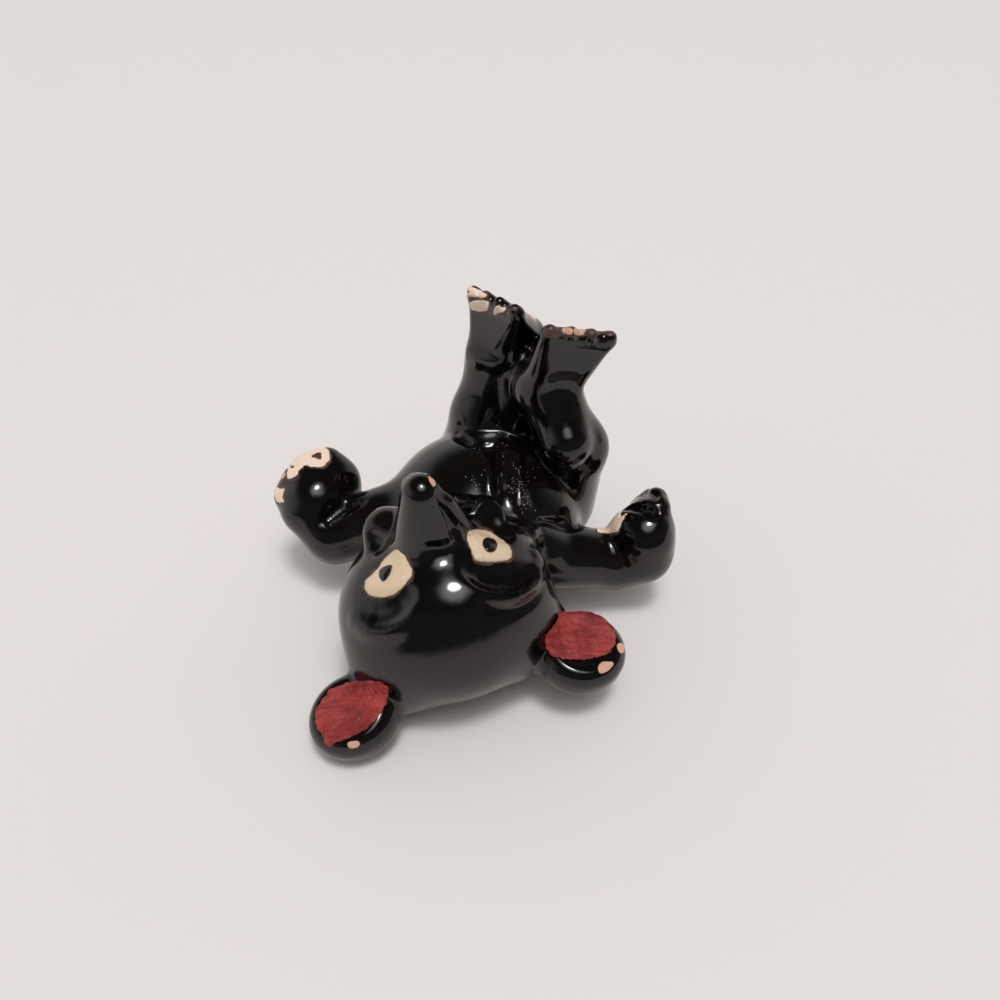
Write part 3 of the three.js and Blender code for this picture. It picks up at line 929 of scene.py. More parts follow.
# Splitting the skin into its castings, each closed by a fan inside the clay
def openLoops(faces):
    # loops of edges that one face has and no other face gives back
    edges = np.stack([faces.ravel(), np.roll(faces, -1, 1).ravel()], 1)
    balance = {}
    for s, e in edges.tolist():
        key, sign = ((s, e), 1) if s < e else ((e, s), -1)
        balance[key] = balance.get(key, 0) + sign
    following = {}
    for (s, e), count in balance.items():
        for _ in range(abs(count)):
            if count > 0:
                following.setdefault(e, []).append(s)
            else:
                following.setdefault(s, []).append(e)
    loops = []
    while following:
        start = next(iter(following))
        loop = [start]
        here = start
        while True:
            options = following[here]
            there = options.pop()
            if not options:
                del following[here]
            if there == start:
                break
            loop.append(there)
            here = there
        loops.append(loop)
    return loops


def mainPatches(quads, label, keepAll=False):
    # faces of one label that don't hang together with its largest patch go to a neighbour,
    # or with keepAll only specks of a few faces are dropped, as label 1
    edges = {}
    for side in range(4):
        pair = np.sort(np.stack([quads[:, side], quads[:, (side + 1) % 4]], 1), 1)
        for face, key in enumerate(map(tuple, pair.tolist())):
            edges.setdefault(key, []).append(face)
    pairs = np.array([f for f in edges.values() if len(f) == 2])
    for _ in range(4):
        group = np.arange(len(quads))
        same = pairs[label[pairs[:, 0]] == label[pairs[:, 1]]]
        while True:
            low = np.minimum(group[same[:, 0]], group[same[:, 1]])
            before = group.copy()
            np.minimum.at(group, same[:, 0], low)
            np.minimum.at(group, same[:, 1], low)
            group = group[group]
            if (group == before).all():
                break
        sizes = np.bincount(group, minlength=len(quads))
        if keepAll:
            return (sizes[group] < netSizes["speck"]).astype(int)
        stray = np.zeros(len(quads), bool)
        for value in np.unique(label):
            mine = np.where(label == value)[0]
            best = group[mine][np.argmax(sizes[group[mine]])]
            stray[mine[group[mine] != best]] = True
        if not stray.any():
            break
        for a, b in ((0, 1), (1, 0)):
            take = stray[pairs[:, a]] & ~stray[pairs[:, b]]
            label[pairs[take, a]] = label[pairs[take, b]]
    return label


skinNet = {}


def makeBody():
    low, high = [np.array(corner) / mm for corner in cadBox]
    margin = netSizes["margin"]
    verts, quads = netMesh(skin, low - margin, high + margin, netSizes["step"])
    print("skin has", len(quads), "faces")
    skinNet["verts"], skinNet["quads"] = verts, quads
    normals = unitSlope(skin, verts)
    names = list(castings)
    fields = castingFields(verts[quads].mean(1))
    label = np.argmin(np.stack([fields[name] for name in names]), 0)
    label = mainPatches(quads, label)
    pieces = {}
    for value, name in enumerate(names):
        faces = quads[label == value]
        loops = openLoops(faces)
        used, local = np.unique(faces, return_inverse=True)
        local = local.reshape(faces.shape)
        where = {int(v): i for i, v in enumerate(used)}
        points = verts[used]
        shine = normals[used]
        solid = local.tolist()
        for loop in loops:
            hub = len(points)
            ring = verts[loop].mean(0)
            points = np.vstack([points, ring])
            shine = np.vstack([shine, [0, 0, 1]])
            for s, e in zip(loop, loop[1:] + loop[:1]):
                solid.append((where[s], where[e], hub))
        pieces[name] = makeMesh(name + "_clay", points, solid, shine)
        print("casting", name, "has", len(solid), "faces and", len(loops), "seams")
    return pieces


body = makeBody()


# Paint, as thin closed shells on the skin
waves = (  # share, then the way of each wave and how the seed shifts it
    (0.6, (1.3, 2.1, 0.7), 1, (-1.9, 0.8, 1.6), 2),
    (0.28, (3.1, -2.3, 3.9), 3, (2.7, 4.1, -2.2), 1),
    (0.14, (-7.3, 6.1, 5.3), 1, (6.7, 5.9, -8.1), 5),
)


def ragged(p, size, seed=0.0):
    q = p / size
    total = 0
    for share, first, shift, second, otherShift in waves:
        wave = np.sin(q @ vec(*first) + shift * seed) * np.sin(q @ vec(*second) + otherShift * seed)
        total = total + share * wave
    return total


def outlineField(window, spots, rounds=2):
    # negative where the camera sees a point inside an outline, in mm at that point
    points = toPhoto(window, spots)
    for _ in range(rounds):
        after = np.roll(points, -1, 0)
        points = np.stack([points * 0.75 + after * 0.25, points * 0.25 + after * 0.75], 1).reshape(-1, 2)

    def field(p):
        pixels, depth = toPixels(p)
        nearest = np.full(len(p), huge)
        inside = np.zeros(len(p), bool)
        for a, b in zip(points, np.roll(points, -1, 0)):
            along = b - a
            q = pixels - a
            t = np.clip(q @ along / max(along @ along, tiny), 0, 1)
            nearest = np.minimum(nearest, np.linalg.norm(q - t[:, None] * along, axis=1))
            rising = (a[1] > pixels[:, 1]) != (b[1] > pixels[:, 1])
            cross = a[0] + (pixels[:, 1] - a[1]) * along[0] / (along[1] if along[1] else tiny)
            inside ^= rising & (pixels[:, 0] < cross)
        return np.where(inside, -nearest, nearest) * depth / focal

    return field


padDepth = 3  # a pad ends this far under its middle


def padField(centre, out, across, halfAcross, halfAlong):
    side = unit(across - out * (across @ out))
    along = np.cross(out, side)

    def field(p):
        q = p - centre
        flat = np.sqrt((q @ side / halfAcross) ** 2 + (q @ along / halfAlong) ** 2)
        return np.maximum((flat - 1) * min(halfAcross, halfAlong), -(q @ out) - padDepth)

    return field


def cleft(region, chips):
    # a region of paint with chips knocked out of it
    def field(p):
        d = region(p)
        for chip in chips:
            d = np.maximum(d, -chip(p))
        return d

    return field


def eitherOf(*regions):
    def field(p):
        return np.min([region(p) for region in regions], 0)

    return field


shellSizes = {
    "edge": 0.35,  # how softly the top runs down into the edge
    "foot": 0.05,
    "raggedSize": 0.8,
    "reliefSize": 1.1,
    "reliefSeed": 3.0,
    "normalStep": 0.03,
}


def paintShell(name, region, box, lift, dome, domeReach, rough, relief=0.0,
               base=skin, depth=0.35, step=netSizes["paintStep"]):

    def form(p):
        d = base(p)
        r = region(p) + rough * ragged(p, shellSizes["raggedSize"])
        t = np.clip(-r / domeReach, 0, 1)
        brushed = relief * ragged(p, shellSizes["reliefSize"], shellSizes["reliefSeed"])
        top = d - lift - dome * (1 - (1 - t) ** 2) - brushed
        return -smoothMin(smoothMin(-top, -r, shellSizes["edge"]), d + depth, shellSizes["foot"])

    verts, quads = netMesh(form, box[0], box[1], step)
    label = mainPatches(quads, np.zeros(len(quads), int), keepAll=True)
    quads = quads[label == 0]
    used, local = np.unique(quads, return_inverse=True)
    normals = unitSlope(form, verts[used], shellSizes["normalStep"])
    piece = makeMesh(name, verts[used], local.reshape(quads.shape).tolist(), normals)
    print("paint", name, "has", len(quads), "faces")
    return piece, form


def boxAround(on, window, spots, reach):
    place, _ = seenOn(castings[on], window, spots)
    return place.min(0) - reach, place.max(0) + reach


# Outlines of paint, chips and bare clay, as they are seen
outlines = {
    "right eye": ("head", "face", ((1195, 690), (1240, 672), (1330, 672), (1400, 690), (1450, 725),
        (1520, 775), (1575, 825), (1592, 870), (1590, 920), (1560, 950), (1500, 962), (1400, 970),
        (1320, 968), (1260, 950), (1235, 900), (1225, 850), (1195, 800), (1183, 740))),
    "right pupil": ("head", "face", ((1340, 750), (1390, 735), (1440, 755), (1465, 800), (1455, 850),
        (1415, 880), (1370, 870), (1350, 850), (1320, 800))),
    "left eye": ("head", "face", ((540, 850), (560, 850), (590, 870), (620, 890), (650, 950),
        (680, 1000), (705, 1040), (690, 1090), (650, 1150), (600, 1210), (540, 1255), (470, 1280),
        (380, 1285), (310, 1265), (270, 1220), (262, 1180), (270, 1130), (320, 1085), (370, 1040),
        (400, 1000), (430, 950), (480, 900))),
    "left pupil": ("head", "face", ((490, 985), (515, 990), (512, 1030), (490, 1080), (460, 1125),
        (430, 1140), (405, 1120), (390, 1080), (400, 1030), (440, 1000))),
    "right lining": ("right_ear", "ears", ((1240, 320), (1290, 300), (1340, 292), (1390, 305),
        (1420, 330), (1440, 360), (1465, 390), (1468, 420), (1455, 450), (1440, 470), (1400, 485),
        (1340, 497), (1300, 490), (1240, 488), (1210, 470), (1195, 430), (1195, 390), (1205, 360),
        (1220, 340))),
    "left lining": ("left_ear", "ears", ((380, 600), (420, 590), (460, 575), (520, 570), (570, 575),
        (600, 590), (603, 630), (590, 670), (565, 710), (530, 750), (490, 775), (440, 795), (400, 810),
        (380, 828), (360, 815), (355, 780), (330, 760), (320, 720), (325, 680), (345, 650),
        (365, 625))),
    "toe tip": ("left_leg", "legs", ((215, 150), (225, 130), (250, 125), (260, 150), (245, 175),
        (225, 170))),
    "toe patch": ("left_leg", "legs", ((225, 110), (250, 100), (300, 118), (345, 140), (385, 160),
        (400, 175), (395, 200), (350, 195), (300, 185), (260, 200), (248, 190), (255, 165), (285, 155),
        (250, 140), (225, 130))),
    "toe patch low": ("left_leg", "legs", ((270, 235), (300, 215), (350, 208), (400, 215), (415, 235),
        (410, 270), (400, 290), (340, 292), (295, 285), (272, 260))),
    "toe patch right": ("left_leg", "legs", ((440, 300), (445, 270), (465, 250), (490, 240), (490, 255),
        (510, 265), (530, 255), (535, 275), (520, 295), (480, 305), (455, 322))),
    "toe speck": ("left_leg", "legs", ((575, 255), (600, 265), (612, 285), (590, 280))),
    "palm edge": ("left_arm", "paw", ((610, 130), (612, 180), (590, 205), (570, 225), (545, 250),
        (500, 250), (440, 240), (380, 228), (365, 250), (330, 280), (320, 310), (290, 345), (250, 355),
        (225, 345), (222, 300), (235, 270), (225, 250), (240, 225), (280, 200), (250, 160), (350, 110),
        (450, 70), (520, 50), (610, 90))),
    "palm chip": ("left_arm", "paw", ((530, 105), (540, 150), (525, 180), (500, 165), (440, 155),
        (470, 130))),
    "palm chip low": ("left_arm", "paw", ((255, 240), (275, 230), (295, 235), (285, 250), (262, 250))),
    "paw spot": ("left_arm", "paw", ((110, 440), (130, 415), (150, 430), (180, 440), (205, 430),
        (200, 470), (185, 500), (190, 530), (205, 560), (165, 570), (130, 560), (112, 500))),
    "right palm": ("right_arm", "arm", ((960, 545), (1000, 500), (1060, 440), (1130, 390), (1150, 395),
        (1110, 440), (1090, 490), (1075, 540), (1060, 560), (1010, 570))),
}
chips = {
    "nose chip": ("head", "face", ((840, 185), (870, 205), (900, 235), (908, 270), (890, 290),
        (865, 260), (845, 220))),
    "right toe mauve": ("right_leg", "legs", ((920, 410), (960, 400), (1000, 410), (1000, 440),
        (985, 455), (960, 450), (930, 430))),
    "right toe peach": ("right_leg", "legs", ((1005, 410), (1040, 390), (1085, 385), (1090, 410),
        (1085, 440), (1050, 460), (1010, 455))),
    "paw pink": ("left_arm", "paw", ((160, 300), (200, 285), (215, 310), (190, 345), (165, 360),
        (150, 350))),
    "right ear chip": ("right_ear", "ears", ((1465, 430), (1500, 430), (1500, 465), (1480, 470))),
    "right ear chip low": ("right_ear", "ears", ((1400, 500), (1465, 500), (1440, 535), (1400, 550))),
    "left ear chip": ("left_ear", "ears", ((445, 805), (495, 800), (490, 826), (450, 832))),
}
bareBands = {
    "right toes": ("right_leg", "legs", ((830, 440), (900, 430), (980, 430), (1060, 425), (1140, 425),
        (1220, 425), (1280, 430)), 1.2, 0.9),
    "right fingers": ("right_arm", "arm", ((1180, 330), (1230, 230), (1300, 180), (1380, 210),
        (1430, 300)), 3.0, 0.28),
    "right brow edge": ("head", "face", ((1417, 1294), (1530, 1323), (1665, 1305), (1800, 1215)),
        1.2, 0.55),
}


def regionOf(name, table=outlines):
    _, window, spots = table[name]
    return outlineField(window, spots)


def boxOver(names, table=outlines, reach=2.5):
    boxes = [boxAround(*table[name], reach) for name in names]
    return np.min([b[0] for b in boxes], 0), np.max([b[1] for b in boxes], 0)


# name: node it replaces, slot, outlines, how thick at the edge, how much it domes and how far in
paints = {
    "right_eye_paint": ("right_eye", "cream_paint", ("right eye",), 0.2, 0.75, 3.2),
    "left_eye_paint": ("left_eye", "cream_paint", ("left eye",), 0.2, 0.75, 3.2),
    "right_lining_paint": ("right_ear_lining", "red_paint", ("right lining",), 0.3, 0.1, 2.0),
    "left_lining_paint": ("left_ear_lining", "red_paint", ("left lining",), 0.3, 0.1, 2.0),
    "left_toe_paint": (
        None, "cream_paint", ("toe tip", "toe patch", "toe patch low", "toe patch right", "toe speck"),
        0.16, 0.06, 1.0,
    ),
    "left_paw_paint": (None, "cream_paint", ("paw spot",), 0.16, 0.06, 1.0),
}
grains = {"cream_paint": (0.12, 0.03), "red_paint": (0.22, 0.22)}  # ragged edge and relief
pupilSizes = {
    "lift": 0.22,
    "dome": 0.35,
    "domeReach": 1.6,
    "rough": 0.06,
    "depth": 0.2,
    "step": netSizes["pupilStep"],
}
padSizes = {"lift": 0.2, "dome": 0.12, "domeReach": 2.0, "rough": 0.2}
soleSizes = {
    "halves": (4.8, 5.2),
    "reach": 7.2,  # from the heel to the middle of the pad
    "probe": 3,
    "pulls": 20,
    "pull": 0.8,
}
palmSizes = {
    "leftHalves": (4.8, 4.2),
    "leftReach": 6.9,  # from the middle of the paw to the middle of the pad
    "rightHalves": (2.8, 2.8),
    "rightReach": 4.7,
    "rightOut": (172, 8),
    "rightRise": 0.8,
}
leftOut = unit(np.cross(leftFingers, leftKnuckles))
rightOut = aim(*palmSizes["rightOut"])
pads = {
    "left_palm_paint": {
        "node": "left_palm_pad",
        "centre": leftPaw + leftOut * palmSizes["leftReach"],
        "out": leftOut,
        "across": leftKnuckles,
        "halves": palmSizes["leftHalves"],
        "with": ("palm edge",),
        "without": ("palm chip", "palm chip low"),
    },
    "right_palm_paint": {
        "node": "right_palm_pad",
        "centre": rightPalm + rightOut * palmSizes["rightReach"] + vec(0, 0, palmSizes["rightRise"]),
        "out": rightOut,
        "across": rightKnuckles,
        "halves": palmSizes["rightHalves"],
        "with": ("right palm",),
        "without": (),
    },
}
for side, leg in (("left", leftLeg), ("right", rightLeg)):
    pads[side + "_sole_paint"] = {
        "node": side + "_sole_pad",
        "leg": leg,
        "across": leg["across"],
        "halves": soleSizes["halves"],
        "with": (),
        "without": (),
    }


def soleCentre(leg):
    out = unit(np.cross(leg["along"], leg["across"]))
    start = leg["heel"] + leg["along"] * soleSizes["reach"]
    before, behind = skin(start + out * soleSizes["probe"] * np.array([[1], [-1]]))
    if before < behind:
        out = -out
    start = np.array([start])
    for _ in range(soleSizes["pulls"]):
        start = start - out * skin(start)[0] * soleSizes["pull"]
    return start[0], out


def makePaint():
    made = {}
    forms = {}
    for name, (node, slot, names, lift, dome, reach) in paints.items():
        rough, relief = grains[slot]
        region = eitherOf(*[regionOf(n) for n in names])
        piece, forms[name] = paintShell(name, region, boxOver(names), lift, dome, reach, rough, relief)
        made[name] = piece, slot, node
    for side in ("right", "left"):
        name = side + "_pupil_paint"
        outline = side + " pupil"
        under = forms[side + "_eye_paint"]
        piece, _ = paintShell(name, regionOf(outline), boxOver([outline]), base=under, **pupilSizes)
        made[name] = piece, "pupil_black", side + "_pupil"
    for name, pad in pads.items():
        centre, out = soleCentre(pad["leg"]) if "leg" in pad else (pad["centre"], pad["out"])
        print(name, "stands", round(float(skin(np.array([centre]))[0]), 2), "mm from the skin")
        reach = max(pad["halves"]) + 2
        low, high = centre - reach, centre + reach
        shapes = [padField(centre, out, pad["across"], *pad["halves"])]
        for n in pad["with"]:
            shapes.append(regionOf(n))
            box = boxOver([n])
            low, high = np.minimum(low, box[0]), np.maximum(high, box[1])
        region = cleft(eitherOf(*shapes), [regionOf(n) for n in pad["without"]])
        piece, _ = paintShell(name, region, (low, high), **padSizes)
        made[name] = piece, "cream_paint", pad["node"]
    return made


painted = makePaint()


def creamNames():
    names = [n for entry in paints.values() if entry[1] == "cream_paint" for n in entry[2]]
    return names + [n for pad in pads.values() for n in pad["with"]]


marks = {"gap": 3.0, "chip": 1.0, "bare": 0.0}  # what they read far from paint and wear
markSizes = {"gapReach": 4.0, "chipReach": 2.0, "bandSpots": 16, "bandFade": 1.5}


def toOutlines(points, on, names, table, start, reach):
    # how far each point is from the outlines that lie on one casting
    found = np.full(len(points), start)
    for name in names:
        if table[name][0] == on:
            near = inBox(points, boxOver([name], table, reach))
            found[near] = np.minimum(found[near], regionOf(name, table)(points[near]))
    return found


def markBody():
    for name, piece in body.items():
        count = len(piece.data.vertices)
        points = np.empty(count * 3, np.float32)
        piece.data.vertices.foreach_get("co", points)
        points = points.reshape(-1, 3).astype(float) / mm
        gap = toOutlines(points, name, creamNames(), outlines, marks["gap"], markSizes["gapReach"])
        chip = toOutlines(points, name, chips, chips, marks["chip"], markSizes["chipReach"])
        bare = np.full(count, marks["bare"])
        for on, window, spots, width, amount in bareBands.values():
            if on == name:
                path, _ = seenOn(castings[on], window, smoothPath(spots, markSizes["bandSpots"]))
                off = tube(path, [0.0] * len(path))(points)
                bare = np.maximum(bare, amount * np.clip(markSizes["bandFade"] - off / width, 0, 1))
        addMark(piece, "gap", gap)
        addMark(piece, "chip", chip)
        addMark(piece, "bare", bare)
    print("body marked")


markBody()


# Materials
class Socket:
    def __init__(self, tree, link):
        self.tree = tree
        self.link = link

    def maths(self, operation, other, flip=False):
        node = self.tree.nodes.new("ShaderNodeMath")
        node.operation = operation
        terms = [self, other]
        if flip:
            terms.reverse()
        for place, term in enumerate(terms):
            if isinstance(term, Socket):
                self.tree.links.new(term.link, node.inputs[place])
            else:
                node.inputs[place].default_value = term
        return Socket(self.tree, node.outputs[0])

    def __add__(self, other):
        return self.maths("ADD", other)

    def __sub__(self, other):
        return self.maths("SUBTRACT", other)

    def __rsub__(self, other):
        return self.maths("SUBTRACT", other, flip=True)

    def __mul__(self, other):
        return self.maths("MULTIPLY", other)

    def __pow__(self, other):
        return self.maths("POWER", other)

    __radd__ = __add__
    __rmul__ = __mul__


class Nodes:
    def __init__(self, tree):
        self.tree = tree
        self.tree.nodes.clear()

    def node(self, kind, settings=None, output=0, **values):
        node = self.tree.nodes.new(kind)
        for key, value in (settings or {}).items():
            setattr(node, key, value)
        for key, value in values.items():
            numbered = key[0] == "i" and key[1:].isdigit()  # i0 is the first socket, and so on
            self.feed(node.inputs[int(key[1:]) if numbered else key], value)
        return Socket(self.tree, node.outputs[output])

    def feed(self, socket, value):
        if isinstance(value, Socket):
            self.tree.links.new(value.link, socket)
        else:
            socket.default_value = value

    def larger(self, first, second):
        return first.maths("MAXIMUM", second)

    def mix(self, share, first, second):
        return self.node("ShaderNodeMix", {"data_type": "RGBA"}, 2, i0=share, i6=first, i7=second)

    def band(self, value, low, high):
        settings = {"interpolation_type": "SMOOTHSTEP"}
        return self.node("ShaderNodeMapRange", settings, i0=value, i1=low, i2=high, i3=0.0, i4=1.0)


class Finish(Nodes):
    def __init__(self, name):
        self.material = bpy.data.materials.new(name)
        self.material.use_nodes = True
        super().__init__(self.material.node_tree)
        self.shader = self.tree.nodes.new("ShaderNodeBsdfPrincipled")
        out = self.tree.nodes.new("ShaderNodeOutputMaterial")
        self.tree.links.new(self.shader.outputs[0], out.inputs[0])

    def set(self, name, value):
        self.feed(self.shader.inputs[name], value)

    def place(self):
        return self.node("ShaderNodeTexCoord", output=3)

    def noise(self, scale, detail=3.0, roughness=0.55, where=None):
        where = where or self.place()
        return self.node("ShaderNodeTexNoise", Vector=where, Scale=scale, Detail=detail, Roughness=roughness)

    def bump(self, height, depth, strength=1.0):
        self.set("Normal", self.node("ShaderNodeBump", Strength=strength, Distance=depth, Height=height))

    def attribute(self, name):
        return self.node("ShaderNodeAttribute", {"attribute_name": name}, 2)


glazeLooks = {
    "dark": ((0.0016, 0.0014, 0.0014, 1), (0.0045, 0.0028, 0.0024, 1)),
    "brown": ((0.030, 0.013, 0.009, 1), (0.13, 0.062, 0.045, 1)),  # where the glaze is worn
    "peach": ((0.55, 0.28, 0.17, 1), (0.72, 0.48, 0.36, 1)),  # clay in the chips
    "roughness": 0.08,
    "ior": 1.55,
    "bump": 0.0001,
}


def blackGlaze():
    finish = Finish("blackGlaze")
    cloud = finish.noise(70.0)
    grain = finish.noise(900.0, 4.0)
    edge = finish.noise(1400.0, 5.0, 0.7)
    patchy = finish.band(finish.noise(330.0, 2.0), 0.38, 0.62)
    worn = finish.band(finish.attribute("gap") + 0.9 * (edge - 0.5), 0.25 + 0.5 * patchy, 0.05 + 0.3 * patchy)
    bare = finish.band(finish.attribute("bare") + 0.9 * (edge - 0.5), 0.35, 0.6)
    chip = finish.band(finish.attribute("chip") + 0.5 * (edge - 0.5), 0.12, -0.05)
    dark = finish.mix(cloud, *glazeLooks["dark"])
    brown = finish.mix(grain, *glazeLooks["brown"])
    peach = finish.mix(grain, *glazeLooks["peach"])
    rubbed = finish.larger(worn, bare)
    colour = finish.mix(rubbed, dark, brown)
    finish.set("Base Color", finish.mix(chip, colour, peach))
    matte = finish.larger(rubbed, chip)
    finish.set("Roughness", glazeLooks["roughness"] + 0.07 * finish.noise(160.0) + 0.35 * matte)
    finish.set("IOR", glazeLooks["ior"])
    finish.bump(finish.noise(220.0, 2.0) + 0.6 * matte * grain, glazeLooks["bump"], 0.5)
    return finish.material


creamLooks = {
    "eyeCream": ((0.63, 0.43, 0.275, 1), (0.76, 0.62, 0.445, 1), (0.83, 0.69, 0.505, 1)),
    "padCream": ((0.76, 0.52, 0.40, 1), (0.93, 0.76, 0.62, 1), (1.0, 0.86, 0.72, 1)),
    "stain": (0.30, 0.14, 0.08, 1),
    "roughness": 0.38,
    "ior": 1.5,
    "bump": 0.0001,
}


def creamPaint(name):
    shade, light, glint = creamLooks[name]
    finish = Finish(name)
    cloud = finish.noise(260.0, 4.0)
    grain = finish.noise(1500.0, 5.0, 0.65)
    stain = finish.band(finish.noise(520.0, 5.0, 0.7), 0.60, 0.78)
    base = finish.mix(0.35 * grain, finish.mix(cloud, shade, light), glint)
    finish.set("Base Color", finish.mix(0.7 * stain, base, creamLooks["stain"]))
    finish.set("Roughness", creamLooks["roughness"] + 0.2 * grain)
    finish.set("IOR", creamLooks["ior"])
    finish.bump(cloud + 0.4 * grain, creamLooks["bump"], 0.7)
    return finish.material


dustLooks = {"grain": ((0.36, 0.30, 0.27, 1), (0.95, 0.92, 0.88, 1)), "roughness": 0.8}


def dustSpeck():
    finish = Finish("dustSpeck")
    grain = finish.noise(2600.0, 3.0)
    finish.set("Base Color", finish.mix(grain, *dustLooks["grain"]))
    finish.set("Roughness", dustLooks["roughness"])
    return finish.material


redLooks = {
    "cloud": ((0.20, 0.018, 0.020, 1), (0.36, 0.042, 0.040, 1)),
    "bright": (0.40, 0.11, 0.085, 1),  # brush marks
    "deep": (0.12, 0.012, 0.012, 1),
    "stain": (0.07, 0.030, 0.022, 1),
    "brush": (330.0, 1500.0, 900.0),
    "specular": 0.25,
    "roughness": 0.5,
    "bump": 0.0004,
}


def redPaint():
    finish = Finish("redPaint")
    place = finish.place()
    cloud = finish.noise(150.0, 4.0)
    bristle = finish.noise(1100.0, 4.0, 0.7)
    brushed = finish.node("ShaderNodeVectorMath", {"operation": "MULTIPLY"}, i0=place, i1=redLooks["brush"])
    streak = finish.noise(1.0, 3.0, 0.6, brushed)
    spots = finish.band(finish.noise(420.0, 5.0, 0.7), 0.50, 0.66)
    stain = spots * finish.band(finish.noise(170.0, 2.0), 0.45, 0.6)
    base = finish.mix(finish.band(cloud, 0.35, 0.65), *redLooks["cloud"])
    base = finish.mix(0.5 * finish.band(streak, 0.5, 0.7), base, redLooks["bright"])
    base = finish.mix(0.6 * finish.band(streak, 0.45, 0.3), base, redLooks["deep"])
    finish.set("Base Color", finish.mix(0.85 * stain, base, redLooks["stain"]))
    finish.set("Specular IOR Level", redLooks["specular"])
    finish.set("Roughness", redLooks["roughness"] + 0.2 * bristle)
    finish.bump(cloud + 0.6 * streak + 0.3 * bristle, redLooks["bump"], 0.8)
    return finish.material


pupilLooks = {
    "grain": ((0.004, 0.004, 0.004, 1), (0.02, 0.012, 0.010, 1)),
    "roughness": 0.1,
    "bump": 0.00005,
}


def pupilPaint():
    finish = Finish("pupilPaint")
    grain = finish.noise(700.0, 3.0)
    finish.set("Base Color", finish.mix(grain, *pupilLooks["grain"]))
    finish.set("Roughness", pupilLooks["roughness"] + 0.1 * grain)
    finish.bump(grain, pupilLooks["bump"], 0.4)
    return finish.material


# Dust and pinholes on the belly, spread by a node tree
dustSizes = {
    "Density": 3e6,  # specks on a square metre where the dust is thickest
    "Smallest": 0.00003,
    "Largest": 0.00009,
    "Seed": 7,
}
dustLimits = {
    "flat": (1.3, 1.0, 0.6),  # how a speck is stretched
    "neck": -24,  # no dust in front of it
    "facing": 0.25,  # or where the skin turns away
    "least": 0.01,
}
dustSpots = (  # in the legs window: middle, reach and thickness of each patch
    (610, 1520, 40, 0.9),
    (660, 1640, 35, 0.9),
    (595, 1400, 30, 0.3),
    (520, 1180, 50, 0.1),
    (320, 1490, 30, 0.35),
    (400, 1300, 160, 0.015),
    (760, 1420, 130, 0.02),
    (250, 1350, 100, 0.012),
    (900, 1150, 150, 0.008),
)


def dustTree(material):
    tree = bpy.data.node_groups.new("dust", "GeometryNodeTree")
    for name, way, kind in (
        ("Geometry", "INPUT", "Geometry"),
        ("Density", "INPUT", "Float"),
        ("Smallest", "INPUT", "Float"),
        ("Largest", "INPUT", "Float"),
        ("Seed", "INPUT", "Int"),
        ("Geometry", "OUTPUT", "Geometry"),
    ):
        tree.interface.new_socket(name, in_out=way, socket_type="NodeSocket" + kind)
    made = {}
    for name, kind, settings, values in (
        ("start", "NodeGroupInput", {}, {}),
        ("thickness", "GeometryNodeInputNamedAttribute", {"data_type": "FLOAT"}, {"Name": "dust"}),
        ("share", "ShaderNodeMath", {"operation": "MULTIPLY"}, {}),
        ("points", "GeometryNodeDistributePointsOnFaces", {}, {}),
        ("speck", "GeometryNodeMeshIcoSphere", {}, {"Radius": 1.0, "Subdivisions": 1}),
        ("size", "FunctionNodeRandomValue", {"data_type": "FLOAT"}, {}),
        ("flat", "ShaderNodeVectorMath", {"operation": "MULTIPLY"}, {1: dustLimits["flat"]}),
        ("place", "GeometryNodeInstanceOnPoints", {}, {}),
        ("real", "GeometryNodeRealizeInstances", {}, {}),
        ("finish", "GeometryNodeSetMaterial", {}, {"Material": material}),
        ("end", "NodeGroupOutput", {}, {}),
    ):
        made[name] = tree.nodes.new(kind)
        for key, value in settings.items():
            setattr(made[name], key, value)
        for key, value in values.items():
            made[name].inputs[key].default_value = value
    for source, out, target, into in (
        ("thickness", "Attribute", "share", 0),
        ("start", "Density", "share", 1),
        ("start", "Geometry", "points", "Mesh"),
        ("share", 0, "points", "Density"),
        ("start", "Seed", "points", "Seed"),
        ("start", "Smallest", "size", 2),
        ("start", "Largest", "size", 3),
        ("start", "Seed", "size", "Seed"),
        ("size", 1, "flat", 0),
        ("points", "Points", "place", "Points"),
        ("speck", "Mesh", "place", "Instance"),
        ("points", "Rotation", "place", "Rotation"),
        ("flat", 0, "place", "Scale"),
        ("place", 0, "real", 0),
        ("real", 0, "finish", "Geometry"),
        ("finish", 0, "end", 0),
    ):
        tree.links.new(made[source].outputs[out], made[target].inputs[into])
    return tree


